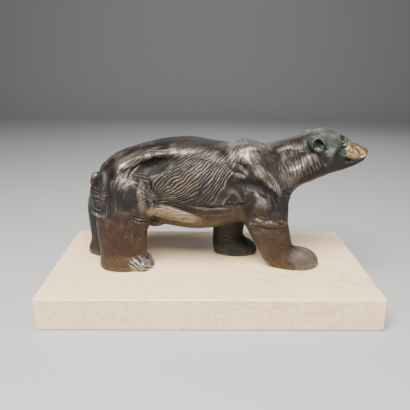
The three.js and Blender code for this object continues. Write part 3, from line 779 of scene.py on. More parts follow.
def locks(phase, strength):
    """The height of the combed locks: keen crests between scooped furrows."""
    inside = 2.0 * np.abs(phase - np.round(phase))
    return strength * ((1.0 - inside) ** 1.35 - 0.36)


# Node trees

class Tree:
    """Short calls for building a node tree."""

    def __init__(self, tree):
        self.tree = tree

    def add(self, kind, inputs=None, **settings):
        node = self.tree.nodes.new(kind)
        for name, value in settings.items():
            setattr(node, name, value)
        for name, value in (inputs or {}).items():
            self.feed(value, node.inputs[name])
        return node

    def feed(self, value, socket):
        if isinstance(value, bpy.types.NodeSocket):
            self.tree.links.new(value, socket)
        elif value is not None:
            socket.default_value = value

    def math(self, operation, *values, clamp=False):
        node = self.add("ShaderNodeMath", operation=operation, use_clamp=clamp)
        for value, socket in zip(values, node.inputs):
            self.feed(value, socket)
        return node.outputs[0]

    def times(self, *values, clamp=False):
        return self.math("MULTIPLY", *values, clamp=clamp)

    def plus(self, *values, clamp=False):
        return self.math("ADD", *values, clamp=clamp)

    def minus(self, *values, clamp=False):
        return self.math("SUBTRACT", *values, clamp=clamp)

    def most(self, *values, clamp=False):
        return self.math("MAXIMUM", *values, clamp=clamp)

    def opposite(self, value):
        """One less the value."""
        return self.minus(1.0, value)

    def vector(self, operation, *values):
        node = self.add("ShaderNodeVectorMath", operation=operation)
        for value, socket in zip(values, node.inputs):
            self.feed(value, socket)
        return node.outputs[0]

    def ramp(self, value, low, high, to_low=0.0, to_high=1.0):
        node = self.add("ShaderNodeMapRange", interpolation_type="SMOOTHSTEP")
        for socket, given in zip(node.inputs, (value, low, high, to_low, to_high)):
            self.feed(given, socket)
        return node.outputs[0]

    def mix(self, factor, a, b, blend="MIX"):
        node = self.add("ShaderNodeMix", data_type="RGBA", blend_type=blend)
        for socket, value in ((node.inputs[0], factor), (node.inputs[6], a), (node.inputs[7], b)):
            self.feed(value, socket)
        return node.outputs[2]

    def noise(self, vector, scale, detail=2.0, roughness=0.5, output=0):
        inputs = {"Vector": vector, "Scale": scale, "Detail": detail, "Roughness": roughness}
        return self.add("ShaderNodeTexNoise", inputs).outputs[output]

    def attribute(self, name, output="Fac"):
        return self.add("ShaderNodeAttribute", attribute_name=name).outputs[output]


def group(name, inputs, outputs):
    """A new shader node group with named sockets, its tree, its input node and its output node."""
    made = bpy.data.node_groups.new(name, "ShaderNodeTree")
    for label, kind, value in inputs:
        socket = made.interface.new_socket(label, in_out="INPUT", socket_type=kind)
        if value is not None:
            socket.default_value = value
    for label, kind in outputs:
        made.interface.new_socket(label, in_out="OUTPUT", socket_type=kind)
    tree = Tree(made)
    return made, tree, tree.add("NodeGroupInput").outputs, tree.add("NodeGroupOutput").inputs


def scaled(tree, vector, factor):
    node = tree.add("ShaderNodeVectorMath", {0: vector, "Scale": factor}, operation="SCALE")
    return node.outputs[0]


def mottle_group():
    """Cloudy unevenness at two sizes, as patina and stone both have."""
    inputs = [
        ("Vector", "NodeSocketVector", None),
        ("Size", "NodeSocketFloat", 0.02),
        ("Contrast", "NodeSocketFloat", 1.0),
    ]
    made, tree, given, out = group("Mottle", inputs, [("Amount", "NodeSocketFloat")])
    scale = tree.math("DIVIDE", 1.0, given["Size"])
    cloud = tree.noise(given["Vector"], scale, 4.0, 0.62)
    fleck = tree.noise(given["Vector"], tree.times(scale, 6.3), 3.0, 0.6)
    both = tree.plus(tree.times(cloud, 0.65), tree.times(fleck, 0.35))
    centred = tree.times(tree.minus(both, 0.5), given["Contrast"])
    tree.feed(tree.plus(tree.times(centred, 2.2), 0.5, clamp=True), out["Amount"])
    return made


def strands_group():
    """Fine hairs between the cut furrows, from the comb's two measures."""
    inputs = [
        ("Across", "NodeSocketFloat", 0.0),
        ("Along", "NodeSocketFloat", 0.0),
        ("Width", "NodeSocketFloat", 0.9),
    ]
    made, tree, given, out = group("Strands", inputs, [("Height", "NodeSocketFloat")])
    lines = tree.add("ShaderNodeCombineXYZ")
    tree.feed(tree.math("DIVIDE", given["Across"], given["Width"]), lines.inputs[0])
    strand_length = tree.times(given["Width"], 11.0)
    tree.feed(tree.math("DIVIDE", given["Along"], strand_length), lines.inputs[1])
    hairs = tree.noise(lines.outputs[0], 1.0, 2.0, 0.55)
    tree.feed(tree.ramp(hairs, 0.3, 0.7), out["Height"])
    return made


def pits_group():
    """Small round pits, scattered thinly."""
    inputs = [
        ("Vector", "NodeSocketVector", None),
        ("Spacing", "NodeSocketFloat", 0.006),
        ("Radius", "NodeSocketFloat", 0.12),
    ]
    made, tree, given, out = group("Pits", inputs, [("Amount", "NodeSocketFloat")])
    scale = tree.math("DIVIDE", 1.0, given["Spacing"])
    ragged = scaled(tree, tree.noise(given["Vector"], 700.0, output=1), 0.0008)
    bent = tree.vector("ADD", given["Vector"], ragged)
    cells = tree.add("ShaderNodeTexVoronoi", {"Vector": bent, "Scale": scale}, feature="F1")
    chance = tree.add("ShaderNodeSeparateColor")
    tree.feed(cells.outputs["Color"], chance.inputs[0])
    reach = tree.times(given["Radius"], chance.outputs[0])
    tree.feed(tree.ramp(cells.outputs["Distance"], reach, 0.0), out["Amount"])
    return made


def use(tree, made, **inputs):
    """Places a node group in a tree."""
    node = tree.add("ShaderNodeGroup", node_tree=made)
    for name, value in inputs.items():
        tree.feed(value, node.inputs[name])
    return node.outputs


def new_material(name):
    material = bpy.data.materials.new(name)
    material.use_nodes = True
    material.node_tree.nodes.clear()
    tree = Tree(material.node_tree)
    shader = tree.add("ShaderNodeBsdfPrincipled")
    output = tree.add("ShaderNodeOutputMaterial")
    tree.feed(shader.outputs[0], output.inputs[0])
    return material, tree, shader.inputs


def spelter_material(look, mottle, strands, pits):
    """Dark bronze-brown patina over zinc, worn through where hands and dusters reach, with painted shade in
    the hollows and painted highlights on the lit patches.
    """
    material, tree, shader = new_material("patinated spelter")
    place = tree.add("ShaderNodeTexCoord").outputs["Object"]
    cloud = use(tree, mottle, Vector=place, Size=0.014, Contrast=1.2)["Amount"]
    speck = use(tree, mottle, Vector=place, Size=0.003, Contrast=1.3)["Amount"]
    upright = tree.add("ShaderNodeMapping", {"Vector": place, "Scale": (1.0, 1.0, 0.16)}).outputs[0]
    streak = use(tree, mottle, Vector=upright, Size=0.0022, Contrast=1.5)["Amount"]
    comb = tree.add("ShaderNodeSeparateXYZ")
    tree.feed(tree.attribute("comb", "Vector"), comb.inputs[0])
    hair = use(tree, strands, Across=comb.outputs[0], Along=comb.outputs[1], Width=1.1)["Height"]
    lock = tree.attribute("locks")
    relief = tree.attribute("relief")
    broad = tree.attribute("broad")

    # How close each place is to a lock's crest, from 0 in the furrow to 1 on the crest
    turn = tree.math("FRACT", tree.plus(comb.outputs[2], 0.5))
    aside = tree.math("ABSOLUTE", tree.minus(turn, 0.5))
    crest = tree.minus(1.0, tree.times(aside, 2.0), clamp=True)
    keen = tree.times(tree.math("POWER", crest, 3.0), lock)

    def zone(name, soft=0.6):
        """A painted zone whose edge the clouds and streaks break up."""
        uneven = tree.plus(tree.times(cloud, 0.6), tree.times(streak, 0.4))
        moved = tree.times(tree.minus(uneven, 0.5), soft)
        return tree.ramp(tree.plus(tree.attribute(name), moved), 0.12, 0.88)

    chestnut = zone("chestnut", 0.8)
    colour = tree.mix(cloud, look.dark, look.brown)
    legs = tree.mix(streak, look.umber, look.chestnut)
    blotch = tree.times(tree.ramp(cloud, 0.5, 0.8), 0.6)
    legs = tree.mix(tree.most(blotch, tree.times(zone("sole"), 0.8)), legs, look.tan)
    colour = tree.mix(tree.times(chestnut, 0.92), colour, legs)
    colour = tree.mix(tree.times(zone("olive", 0.3), 0.9), colour, look.olive)
    colour = tree.mix(tree.times(zone("green"), 0.9), colour, look.green)
    steel = tree.times(zone("steel"), 0.85)
    dents = use(tree, pits, Vector=place, Spacing=0.0024, Radius=0.3)["Amount"]
    pitted = tree.times(dents, steel)
    colour = tree.mix(steel, colour, tree.mix(pitted, look.steel, look.dirt_and_shade))
    brass = tree.times(zone("brass"), tree.ramp(crest, 0.45, 0.85))
    colour = tree.mix(tree.times(brass, 0.7), colour, look.olive)

    # Darker in the furrows and hollows: dirt down in them, and painted shade in the hollows, joined below
    # with the painted shade of the dark patches
    hollow = tree.ramp(relief, -0.02, -0.2)
    hollow = tree.most(hollow, tree.times(tree.ramp(broad, -0.2, -1.0), 0.7))
    furrow = tree.times(tree.ramp(crest, 0.5, 0.1), tree.math("MINIMUM", lock, 1.0))
    deep = tree.most(hollow, tree.times(furrow, 0.9))
    # Painted shade: the dark patches, laid on as dark colour with a rougher surface
    painted_shade = zone("painted_shade", 0.5)
    deep = tree.most(deep, tree.times(painted_shade, 0.85))
    colour = tree.mix(tree.times(deep, 0.9), colour, look.dirt_and_shade)
    ridge = tree.most(tree.ramp(relief, 0.05, 0.25), tree.times(tree.ramp(broad, 0.4, 1.3), 0.3))
    ridge = tree.most(ridge, keen)
    worn = tree.times(ridge, tree.plus(tree.times(speck, 0.9), 0.1), clamp=True)
    worn = tree.times(worn, tree.opposite(tree.times(chestnut, 0.7)))
    # Painted highlight: paler metal streaked along the fine hairs over the lit patches
    painted_highlight = tree.times(zone("painted_highlight"), tree.ramp(hair, 0.75, 0.25, 0.15, 0.8))
    # Less paler metal and less painted highlight inside the painted shade
    unshaded = tree.opposite(tree.times(painted_shade, 0.75))
    # Paler metal on the worn crests, together with the painted highlight
    wear_and_highlight = tree.times(tree.most(worn, painted_highlight), unshaded)
    colour = tree.mix(tree.times(wear_and_highlight, 0.55), colour, look.wear_and_highlight)
    silver = tree.times(zone("silver", 0.3), tree.ramp(relief, -0.12, 0.1))
    colour = tree.mix(silver, colour, look.silver)
    above = tree.opposite(tree.ramp(tree.attribute("jaw"), 0.35, 0.6))
    gold = tree.times(zone("gold", 0.15), tree.ramp(relief, -0.5, -0.15))
    # No gold inside the painted shade
    gold = tree.times(gold, tree.ramp(tree.attribute("painted_shade"), 0.9, 0.2))
    gold = tree.times(gold, above)
    colour = tree.mix(gold, colour, look.gold)
    bare = tree.most(gold, silver)
    haired = tree.times(hair, tree.opposite(bare))
    shade = tree.mix(tree.times(haired, 0.8), (1.15, 1.15, 1.15, 1.0), (0.30, 0.28, 0.26, 1.0))
    colour = tree.mix(1.0, colour, shade, "MULTIPLY")
    tree.feed(colour, shader["Base Color"])

    # More metallic on the worn crests and under the painted highlight
    metal = tree.plus(0.05, tree.times(wear_and_highlight, 0.9))
    tree.feed(tree.most(metal, tree.times(bare, 0.85), clamp=True), shader["Metallic"])
    rough = tree.plus(0.36, tree.times(tree.minus(speck, 0.5), 0.16))
    rough = tree.plus(rough, tree.times(deep, 0.34))
    rough = tree.plus(rough, tree.times(chestnut, 0.1))
    rough = tree.minus(rough, tree.times(bare, 0.08))
    rough = tree.minus(rough, tree.times(wear_and_highlight, 0.04), clamp=True)
    tree.feed(rough, shader["Roughness"])
    shader["Coat Weight"].default_value = 0.05
    shader["Coat Roughness"].default_value = 0.25
    shader["Specular IOR Level"].default_value = 0.32

    grain = tree.noise(place, 2600.0, 3.0, 0.6)
    height = tree.times(tree.math("POWER", crest, 1.35), tree.times(lock, 1.8))
    height = tree.plus(height, tree.times(haired, tree.ramp(lock, 0.0, 0.6, 0.55, 0.9)))
    uneven = tree.plus(tree.times(grain, 0.3), tree.times(speck, 0.4))
    smooth = tree.opposite(tree.times(bare, 0.8))
    height = tree.plus(height, tree.times(uneven, smooth))
    height = tree.minus(height, tree.times(pitted, 1.5))
    bump = tree.add("ShaderNodeBump", {"Strength": 0.9, "Distance": 0.0003, "Height": height})
    tree.feed(bump.outputs[0], shader["Normal"])
    return material


def marble_material(look, mottle, pits):
    """Cream-beige honed marble: cloudy, finely specked, with small open pits and brown hair veins."""
    material, tree, shader = new_material("cream marble")
    place = tree.add("ShaderNodeTexCoord").outputs["Object"]
    cloud = use(tree, mottle, Vector=place, Size=0.045, Contrast=0.9)["Amount"]
    grain = use(tree, mottle, Vector=place, Size=0.0030, Contrast=1.6)["Amount"]
    colour = tree.mix(cloud, look.cream, look.beige)
    colour = tree.mix(tree.times(tree.ramp(grain, 0.45, 0.9), 0.35), colour, look.pale)
    colour = tree.mix(tree.times(tree.ramp(grain, 0.45, 0.1), 0.9), colour, look.tan)
    stretched = tree.add("ShaderNodeMapping", {"Vector": place, "Scale": (0.35, 1.0, 1.6)}).outputs[0]
    bent = scaled(tree, tree.noise(place, 18.0, output=1), 0.05)
    cracks = {"Vector": tree.vector("ADD", stretched, bent), "Scale": 16.0}
    vein = tree.add("ShaderNodeTexVoronoi", cracks, feature="DISTANCE_TO_EDGE")
    line = tree.ramp(vein.outputs[0], 0.04, 0.0)
    broken = tree.times(line, tree.ramp(tree.noise(place, 26.0, 3.0), 0.46, 0.6))
    colour = tree.mix(tree.times(broken, 0.75), colour, look.vein)
    small = use(tree, pits, Vector=place, Spacing=0.0032, Radius=0.24)["Amount"]
    large = use(tree, pits, Vector=place, Spacing=0.017, Radius=0.09)["Amount"]
    colour = tree.mix(tree.times(small, 0.75), colour, look.tan)
    colour = tree.mix(tree.times(large, 0.75), colour, look.vein)
    arris = tree.attribute("arris")
    colour = tree.mix(tree.times(arris, 0.55), colour, look.pale)
    tree.feed(colour, shader["Base Color"])
    rough = tree.plus(0.42, tree.times(tree.minus(grain, 0.5), 0.2))
    tree.feed(tree.plus(rough, tree.times(small, 0.15), clamp=True), shader["Roughness"])
    shader["Subsurface Weight"].default_value = 0.02
    shader["Subsurface Scale"].default_value = 0.002
    height = tree.minus(tree.times(grain, 0.35), tree.times(small, 0.5))
    height = tree.minus(height, large)
    bump = tree.add("ShaderNodeBump", {"Strength": 0.5, "Distance": 0.0002, "Height": height})
    tree.feed(bump.outputs[0], shader["Normal"])
    return material


# The plinth

SLAB_INPUTS = [
    ("Length", "NodeSocketFloat", 0.3),
    ("Width", "NodeSocketFloat", 0.16),
    ("Thickness", "NodeSocketFloat", 0.03),
    ("Edge", "NodeSocketFloat", 0.0014),
    ("Chip", "NodeSocketFloat", 0.0005),
    ("Seed", "NodeSocketInt", 4),
    ("Columns", "NodeSocketInt", 241),
    ("Rows", "NodeSocketInt", 101),
    ("Layers", "NodeSocketInt", 25),
]


def slab_tree(material):
    """Geometry nodes for a slab: a gridded block whose edges are rounded by rule, then worn and chipped."""
    made = bpy.data.node_groups.new("Slab", "GeometryNodeTree")
    sockets = {}
    for label, kind, value in SLAB_INPUTS:
        socket = made.interface.new_socket(label, in_out="INPUT", socket_type=kind)
        socket.default_value = value
        sockets[label] = socket.identifier
    made.interface.new_socket("Geometry", in_out="OUTPUT", socket_type="NodeSocketGeometry")
    tree = Tree(made)
    given = tree.add("NodeGroupInput").outputs
    block = tree.add("GeometryNodeMeshCube", {"Size": (2.0, 2.0, 2.0)})
    for socket, name in (("Vertices X", "Columns"), ("Vertices Y", "Rows"), ("Vertices Z", "Layers")):
        tree.feed(given[name], block.inputs[socket])

    sides = {0: given["Length"], 1: given["Width"], 2: given["Thickness"]}
    half = scaled(tree, tree.add("ShaderNodeCombineXYZ", sides).outputs[0], 0.5)
    edge = tree.add("ShaderNodeCombineXYZ", dict.fromkeys(range(3), given["Edge"])).outputs[0]
    place = tree.add("GeometryNodeInputPosition").outputs[0]
    # Grid lines are drawn together towards the edges, where the rounding needs them
    to_edge = tree.vector("SUBTRACT", (1.0, 1.0, 1.0), tree.vector("ABSOLUTE", place))
    drawn = tree.vector("SUBTRACT", (1.0, 1.0, 1.0), tree.vector("MULTIPLY", to_edge, to_edge))
    outer = tree.vector("MULTIPLY", tree.vector("MULTIPLY", drawn, tree.vector("SIGN", place)), half)
    core = tree.vector("SUBTRACT", half, edge)
    inner = tree.vector("MAXIMUM", tree.vector("MINIMUM", outer, core), scaled(tree, core, -1.0))
    away = tree.vector("SUBTRACT", outer, inner)
    way = tree.vector("NORMALIZE", away)
    length = tree.add("ShaderNodeVectorMath", {0: way}, operation="ABSOLUTE").outputs[0]
    parts = tree.add("ShaderNodeSeparateXYZ", {0: length}).outputs
    largest = tree.most(tree.most(parts[0], parts[1]), parts[2])
    arris = tree.ramp(largest, 0.999, 0.8)

    seed = tree.times(given["Seed"], 3.7)
    chipping = {"Vector": outer, "W": seed, "Scale": 160.0, "Detail": 2.0}
    bite = tree.add("ShaderNodeTexNoise", chipping, noise_dimensions="4D")
    fretting = {"Vector": outer, "W": seed, "Scale": 900.0, "Detail": 1.0}
    fret = tree.add("ShaderNodeTexNoise", fretting, noise_dimensions="4D")
    chips = tree.times(tree.ramp(bite.outputs[0], 0.6, 0.74), 1.6)
    worn = tree.plus(chips, tree.times(fret.outputs[0], 0.35))
    depth = tree.times(tree.times(worn, arris), given["Chip"])
    reach = tree.minus(given["Edge"], depth)
    rounded = tree.vector("ADD", inner, scaled(tree, way, reach))
    lift = tree.add("ShaderNodeCombineXYZ", {2: tree.times(given["Thickness"], 0.5)}).outputs[0]
    standing_place = tree.vector("ADD", rounded, lift)
    moved = tree.add("GeometryNodeSetPosition", {0: block.outputs[0], "Position": standing_place})

    named = {0: moved.outputs[0], "Name": "arris"}
    kept = tree.add("GeometryNodeStoreNamedAttribute", named, data_type="FLOAT")
    tree.feed(arris, kept.inputs["Value"])
    smooth = tree.add("GeometryNodeSetShadeSmooth", {0: kept.outputs[0]})
    real = tree.add("GeometryNodeRealizeInstances", {0: smooth.outputs[0]})
    finished = tree.add("GeometryNodeSetMaterial", {0: real.outputs[0], "Material": material})
    tree.feed(finished.outputs[0], tree.add("NodeGroupOutput").inputs[0])
    return made, sockets


def piece_from_nodes(name, nodes, sockets, values):
    """The plain mesh that a geometry node tree makes from these values."""
    holder = mesh_object("holder", bpy.data.meshes.new("empty"))
    modifier = holder.modifiers.new("Nodes", "NODES")
    modifier.node_group = nodes
    for label, value in values.items():
        modifier[sockets[label]] = value
    mesh = settled(holder)
    holder.modifiers.clear()
    bpy.data.objects.remove(holder)
    mesh.name = name
    return mesh_object(name, mesh)


# Settings

def length_setting(name, description, value):
    return bpy.props.FloatProperty(name=name, description=description, default=value, unit="LENGTH")


def angle_setting(name, description, degrees):
    value = math.radians(degrees)
    return bpy.props.FloatProperty(name=name, description=description, default=value, unit="ROTATION")


def colour_setting(name, description, value):
    return bpy.props.FloatVectorProperty(
        name=name, description=description, default=(*value, 1.0), size=4, min=0.0, max=1.0, subtype="COLOR"
    )


class CastingSettings(bpy.types.PropertyGroup):
    coarse_grain: length_setting("Coarse grain", "Grid on which the main forms are worn smooth", 0.001)
    fine_grain: length_setting("Fine grain", "Grid on which the hair and the face are cut", 0.0005)
    lock_width: length_setting("Lock width", "Distance from one cut furrow to the next", 0.0020)
    lock_depth: length_setting("Lock depth", "Depth of the deepest furrows", 0.0010)
    faces: bpy.props.IntProperty(
        name="Faces", description="Triangles that the casting may have", default=190000
    )
    dark: colour_setting("Dark patina", "Nearly black patina on the back and flanks", (0.006, 0.004, 0.003))
    brown: colour_setting("Brown patina", "Clouds of brown in the dark patina", (0.014, 0.009, 0.007))
    umber: colour_setting("Umber", "Darker streaks down the legs", (0.012, 0.006, 0.004))
    chestnut: colour_setting(
        "Chestnut", "Warmer patina on the legs and under the belly", (0.040, 0.016, 0.008)
    )
    tan: colour_setting("Tan", "Yellower clouds on the legs", (0.060, 0.034, 0.014))
    olive: colour_setting("Olive", "Yellower, thinner patina on the flank and groin", (0.170, 0.120, 0.065))
    green: colour_setting("Green", "Grey-green bloom on the head", (0.020, 0.036, 0.029))
    steel: colour_setting("Steel", "Grey rubbed patina on the near forepaw", (0.070, 0.058, 0.048))
    silver: colour_setting("Silver", "Bare zinc on the hind toes", (0.220, 0.220, 0.215))
    gold: colour_setting("Gold", "Brassy bare metal on the muzzle", (0.330, 0.235, 0.125))
    # Also the colour of the painted shade in the hollows and the dark patches
    dirt_and_shade: colour_setting("Grime", "Dark dirt down in the furrows", (0.003, 0.002, 0.002))
    # Paler metal on the worn crests, also the colour of the painted highlight
    wear_and_highlight: colour_setting("Rubbed", "Paler metal along the crests", (0.420, 0.370, 0.330))


class PlinthSettings(bpy.types.PropertyGroup):
    length: length_setting("Length", "Along the bear", PLINTH_HIGH.x - PLINTH_LOW.x)
    width: length_setting("Width", "Across the bear", PLINTH_HIGH.y - PLINTH_LOW.y)
    thickness: length_setting("Thickness", "Height of the slab", PLINTH_HIGH.z - PLINTH_LOW.z)
    edge: length_setting("Edge", "Radius of the worn edges", 0.0014)
    chip: length_setting("Chip", "Depth of the chips along the edges", 0.0005)
    cream: colour_setting("Cream", "Main colour of the stone", (0.720, 0.510, 0.270))
    beige: colour_setting("Beige", "Cloudier parts of the stone", (0.540, 0.350, 0.160))
    pale: colour_setting("Pale", "Light specks and the bruised edges", (0.820, 0.660, 0.440))
    tan: colour_setting("Tan", "Brown specks and shallow pits", (0.240, 0.140, 0.070))
    vein: colour_setting("Vein", "Hair veins and open pits", (0.200, 0.110, 0.060))


class StageSettings(bpy.types.PropertyGroup):
    lens: bpy.props.FloatProperty(
        name="Lens", description="Focal length on a 36 mm sensor, in mm", default=40.83
    )
    eye: bpy.props.FloatVectorProperty(
        name="Eye",
        description="Where the camera stands",
        default=(-0.00941, -0.42678, 0.22589),
        subtype="XYZ",
    )
    pitch: angle_setting("Pitch", "How far the camera looks down", 17.93)
    yaw: angle_setting("Yaw", "How far the camera turns right", 0.659)
    roll: angle_setting("Roll", "How far the camera leans", 0.493)
    floor: colour_setting("Floor", "Colour of the plain floor", (0.330, 0.340, 0.360))
    air: colour_setting("Air", "Colour of the soft light all round", (0.620, 0.650, 0.700))


# Operators

class BEAR_OT_plinth(bpy.types.Operator):
    """Cut the marble plinth, round its edges and give it its stone"""

    bl_idname = "bear.plinth"
    bl_label = "Marble plinth"

    def execute(self, context):
        look = context.scene.bear_plinth
        material = marble_material(look, shared("Mottle", mottle_group), shared("Pits", pits_group))
        nodes, sockets = slab_tree(material)
        values = {
            "Length": look.length,
            "Width": look.width,
            "Thickness": look.thickness,
            "Edge": look.edge,
            "Chip": look.chip,
        }
        slab = piece_from_nodes("marble_plinth", nodes, sockets, values)
        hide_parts("plinth")
        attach(slab, "root")
        return {"FINISHED"}


class BEAR_OT_casting(bpy.types.Operator):
    """Wear the facets off the bear, model its face and folds, and cut its hair"""

    bl_idname = "bear.casting"
    bl_label = "Spelter bear"

    def execute(self, context):
        look = context.scene.bear_casting
        mesh = cast_bear(look)
        mesh.name = "spelter_bear"
        bear = mesh_object("spelter_bear", mesh)
        mottle, strands = shared("Mottle", mottle_group), shared("Strands", strands_group)
        material = spelter_material(look, mottle, strands, shared("Pits", pits_group))
        mesh.materials.clear()
        mesh.materials.append(material)
        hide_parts("bear")
        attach(bear, "root")
        return {"FINISHED"}


class BEAR_OT_stage(bpy.types.Operator):
    """Set out the floor, the lamps and the camera"""

    bl_idname = "bear.stage"
    bl_label = "Stage"

    def execute(self, context):
        look = context.scene.bear_stage
        make_floor(look)
        make_lamps()
        make_air(look)
        make_camera(look)
        return {"FINISHED"}


class BEAR_PT_parts(bpy.types.Panel):
    """The bear's pieces and their sizes and colours"""

    bl_idname = "BEAR_PT_parts"
    bl_label = "Spelter bear"
    bl_space_type = "VIEW_3D"
    bl_region_type = "UI"
    bl_category = "Bear"

    def draw(self, context):
        rows = (
            ("bear.plinth", context.scene.bear_plinth),
            ("bear.casting", context.scene.bear_casting),
            ("bear.stage", context.scene.bear_stage),
        )
        for operator, settings in rows:
            box = self.layout.box()
            box.operator(operator)
            for name in settings.__annotations__:
                box.prop(settings, name)


def shared(name, maker):
    """The node group of that name, made the first time it is asked for."""
    return bpy.data.node_groups.get(name) or maker()


# The casting

# Rounds of smoothing that wear off the solid's facets, settle the forms and settle the cut marks
FACET_ROUNDS, FORM_ROUNDS, SKIN_ROUNDS, CUT_ROUNDS = 26, 3, 5, 1

# Rounds over which a point's surroundings are meant, for fine relief and for whole forms
FINE_ROUNDS, FORM_REACH = 6, 70


def cast_bear(look):
    """The finished mesh: facets worn off, forms modelled, then everything keen and the hair cut in."""
    clay = Clay(remade(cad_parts["bear"].data, look.coarse_grain))
    coarse = clay_mesh(clay)
    clay.smooth(FACET_ROUNDS)
    normals = clay.normals()
    broad = side_seen(clay, normals, TORSO_BROAD + SHOULDER_BROAD + NECK_BROAD, round_top, (5, 14))
    broad += side_seen(clay, normals, FACE_BROAD, round_top, (1, 6))
    clay.push(broad)
    clay.push(swelling(clay, SWELLINGS))
    clay.smooth(FORM_ROUNDS)
    comb = Comb(clay.tree())
    clay.write(coarse)
    extras = eye_bodies(clay.tree()) + ear_bodies() + claw_bodies() + fold_bodies()

    fine = remade(coarse, look.fine_grain, extras)
    clay = Clay(fine)
    clay.smooth(SKIN_ROUNDS)
    clay.push(carved(clay))
    clay.smooth(CUT_ROUNDS)
    measures = comb.measures(clay.points)
    phase = strand_phase(measures, look.lock_width / MM)
    strength = lock_strength(phase, measures[:, 1]) * hair_depth(clay.points, clay.normals())
    clay.push(locks(phase, strength) * look.lock_depth / MM)
    clay.points[:, 2] = np.maximum(clay.points[:, 2], 0.0)
    clay.write(fine)

    mesh = thinned(fine, look.faces)
    for polygon in mesh.polygons:
        polygon.use_smooth = True
    write_comb(mesh, comb, look)
    paint(mesh)
    return mesh


def carved(clay):
    """Heights of everything that is cut with a keen tool."""
    normals = clay.normals()
    heights = side_seen(clay, normals, TORSO_KEEN, sharp_top, (7, 15))
    heights += side_seen(clay, normals, RUMP_KEEN + THROAT_KEEN, sharp_top, (2, 9))
    heights += side_seen(clay, normals, FACE_KEEN, sharp_top, (0.5, 4))
    heights += side_seen(clay, normals, EAR_KEEN, round_top, (14, 18))
    heights += side_seen(clay, normals, tool_marks(TOOL_STROKES, STROKE_SEED), sharp_top, (4, 12))
    for side, thigh, arm, paw in ((NEAR, 0, 0, 0), (FAR, FAR_THIGH, FAR_ARM, FAR_PAW)):
        heights += side_seen(clay, normals, shifted(HIND_KEEN, thigh), sharp_top, (6, 14), side)
        heights += side_seen(clay, normals, shifted(FORE_KEEN, arm), sharp_top, (6, 14), side)
        heights += side_seen(clay, normals, shifted(HIND_TOE_FURROWS, paw), sharp_top, (6, 12), side)
    return heights + toe_furrows(clay, normals)


def clay_mesh(clay):
    mesh = bpy.data.meshes.new("coarse")
    mesh.from_pydata((clay.points + FEET) * MM, [], clay.triangles.tolist())
    return mesh


def shifted(marks, by):
    return [[(x + by, *rest) for x, *rest in stations] for stations in marks]


def toe_furrows(clay, normals):
    """The furrows between the forepaws' toes, seen from the front."""
    heights = np.zeros(len(clay.points))
    for side, front in ((NEAR, 96.0), (FAR, 41.0)):
        out = clay.points[:, 1] * side
        close = (out > 2.0) & (clay.points[:, 2] < 16.0)
        weight = smoothstep(front - 4.0, front + 3.0, clay.points[:, 0]) * close
        if side == FAR:
            weight = weight * (1.0 - smoothstep(front + 12.0, front + 16.0, clay.points[:, 0]))
        places = np.stack([out, clay.points[:, 2]], axis=1)
        for stations in FORE_TOE_FURROWS:
            heights += weight * worked(places, stations, sharp_top)
    return heights * smoothstep(0.1, 0.5, normals[:, 0])


def write_comb(mesh, comb, look):
    """How the hair runs and how far each point stands up or lies deep."""
    clay = Clay(mesh)
    measures = comb.measures(clay.points)
    phase = strand_phase(measures, look.lock_width / MM)
    strength = lock_strength(phase, measures[:, 1]) * hair_depth(clay.points, clay.normals())
    write_vectors(mesh, "comb", np.column_stack([measures, phase]))
    write_values(mesh, "locks", strength)
    write_values(mesh, "relief", standing(clay, clay.normals(), FINE_ROUNDS))
    write_values(mesh, "broad", standing(clay, clay.normals(), FORM_REACH))


def paint(mesh):
    """Where each patina lies, and where the painted shade and painted highlights go."""
    clay = Clay(mesh)
    places = clay.points[:, [0, 2]]
    for name, patches in ZONES.items():
        amount = np.zeros(len(places))
        for spot in patches:
            amount = np.maximum(amount, patch(places, *spot))
        if name == "green":
            far_side = smoothstep(2.0, 6.0, clay.points[:, 1])
            amount = np.maximum(amount, far_side * patch(places, *FAR_PAW_GREEN))
        write_values(mesh, name, amount)


def standing(clay, normals, rounds):
    """How far each point stands above the mean of its surroundings, in millimetres."""
    mean = clay.points.copy()
    for _ in range(rounds):
        mean = clay.around(mean) * 0.5 + mean * 0.5
    return np.sum((clay.points - mean) * normals, axis=1)


def write_values(mesh, name, values):
    layer = mesh.attributes.new(name, "FLOAT", "POINT")
    layer.data.foreach_set("value", values.astype(np.float32))


def write_vectors(mesh, name, values):
    layer = mesh.attributes.new(name, "FLOAT_VECTOR", "POINT")
    layer.data.foreach_set("vector", values.astype(np.float32).ravel())


# The stage

def make_floor(look):
    """A pale floor that curves up into a backdrop far behind."""
    outline = [(-2.5, 0.0), (1.3, 0.0)]
    radius = 0.7
    for step in range(1, 13):
        angle = math.radians(90.0 * step / 12)
        outline.append((1.3 + radius * math.sin(angle), radius * (1.0 - math.cos(angle))))
    outline.append((2.0, 3.0))
    points, faces = [], []
    for y, z in outline:
        points += [(-4.0, y, z), (4.0, y, z)]
    for step in range(len(outline) - 1):
        faces.append((2 * step, 2 * step + 1, 2 * step + 3, 2 * step + 2))
    mesh = bpy.data.meshes.new("floor")
    mesh.from_pydata(points, [], faces)
    for polygon in mesh.polygons:
        polygon.use_smooth = True
    material, tree, shader = new_material("pale floor")
    shader["Base Color"].default_value = look.floor
    shader["Roughness"].default_value = 0.7
    mesh.materials.append(material)
    floor = mesh_object("floor", mesh)


LAMPS = [
    # name, place, aims at, width, height, watts, colour
    ("softbox_over", (-0.12, -0.44, 0.80), (0.0, 0.0, 0.08), 0.7, 0.5, 36.0, (1.0, 0.95, 0.88)),
    ("softbox_left", (-0.85, -0.60, 0.40), (0.0, 0.0, 0.09), 0.3, 0.5, 3.0, (0.97, 0.97, 1.0)),
    ("softbox_right", (0.80, -0.55, 0.35), (0.0, 0.0, 0.09), 0.3, 0.5, 4.0, (1.0, 0.97, 0.93)),
    ("softbox_back", (0.3, 0.85, 0.6), (0.0, 0.0, 0.08), 0.6, 0.4, 2.0, (0.97, 0.98, 1.0)),
]


AIR_STRENGTH = 0.06


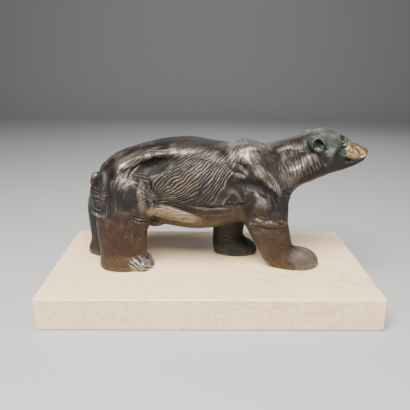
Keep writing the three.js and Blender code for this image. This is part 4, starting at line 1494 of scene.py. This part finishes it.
def make_lamps():
    for name, place, aim, width, height, watts, colour in LAMPS:
        light = bpy.data.lights.new(name, "AREA")
        light.shape = "RECTANGLE"
        light.size = width
        light.size_y = height
        light.energy = watts
        light.color = colour
        lamp = bpy.data.objects.new(name, light)
        lamp.location = place
        lamp.rotation_euler = (Vector(aim) - Vector(place)).to_track_quat("-Z", "Y").to_euler()
        bpy.context.scene.collection.objects.link(lamp)


def make_air(look):
    world = bpy.data.worlds.new("air")
    world.use_nodes = True
    background = world.node_tree.nodes["Background"]
    background.inputs["Color"].default_value = look.air
    background.inputs["Strength"].default_value = AIR_STRENGTH
    bpy.context.scene.world = world


def make_camera(look):
    camera = bpy.data.cameras.new("camera")
    camera.lens = look.lens
    camera.sensor_width = 36.0
    camera.clip_start = 0.01
    placed = bpy.data.objects.new("camera", camera)
    sin_pitch, cos_pitch = math.sin(look.pitch), math.cos(look.pitch)
    sin_yaw, cos_yaw = math.sin(look.yaw), math.cos(look.yaw)
    forward = Vector((sin_yaw * cos_pitch, cos_yaw * cos_pitch, -sin_pitch))
    level = Vector((cos_yaw, -sin_yaw, 0.0))
    upright = level.cross(forward)
    right = math.cos(look.roll) * level + math.sin(look.roll) * upright
    up = math.cos(look.roll) * upright - math.sin(look.roll) * level
    turned = Matrix((right, up, -forward)).transposed()
    placed.matrix_world = Matrix.Translation(Vector(look.eye)) @ turned.to_4x4()
    bpy.context.scene.collection.objects.link(placed)
    bpy.context.scene.camera = placed


CLASSES = (
    CastingSettings,
    PlinthSettings,
    StageSettings,
    BEAR_OT_plinth,
    BEAR_OT_casting,
    BEAR_OT_stage,
    BEAR_PT_parts,
)


def register():
    for kind in CLASSES:
        bpy.utils.register_class(kind)
    bpy.types.Scene.bear_casting = bpy.props.PointerProperty(type=CastingSettings)
    bpy.types.Scene.bear_plinth = bpy.props.PointerProperty(type=PlinthSettings)
    bpy.types.Scene.bear_stage = bpy.props.PointerProperty(type=StageSettings)


def unregister():
    del bpy.types.Scene.bear_stage
    del bpy.types.Scene.bear_plinth
    del bpy.types.Scene.bear_casting
    for kind in reversed(CLASSES):
        bpy.utils.unregister_class(kind)


def main():
    register()
    bpy.ops.bear.plinth()
    bpy.ops.bear.casting()
    bpy.ops.bear.stage()


if __name__ == "__main__":
    main()
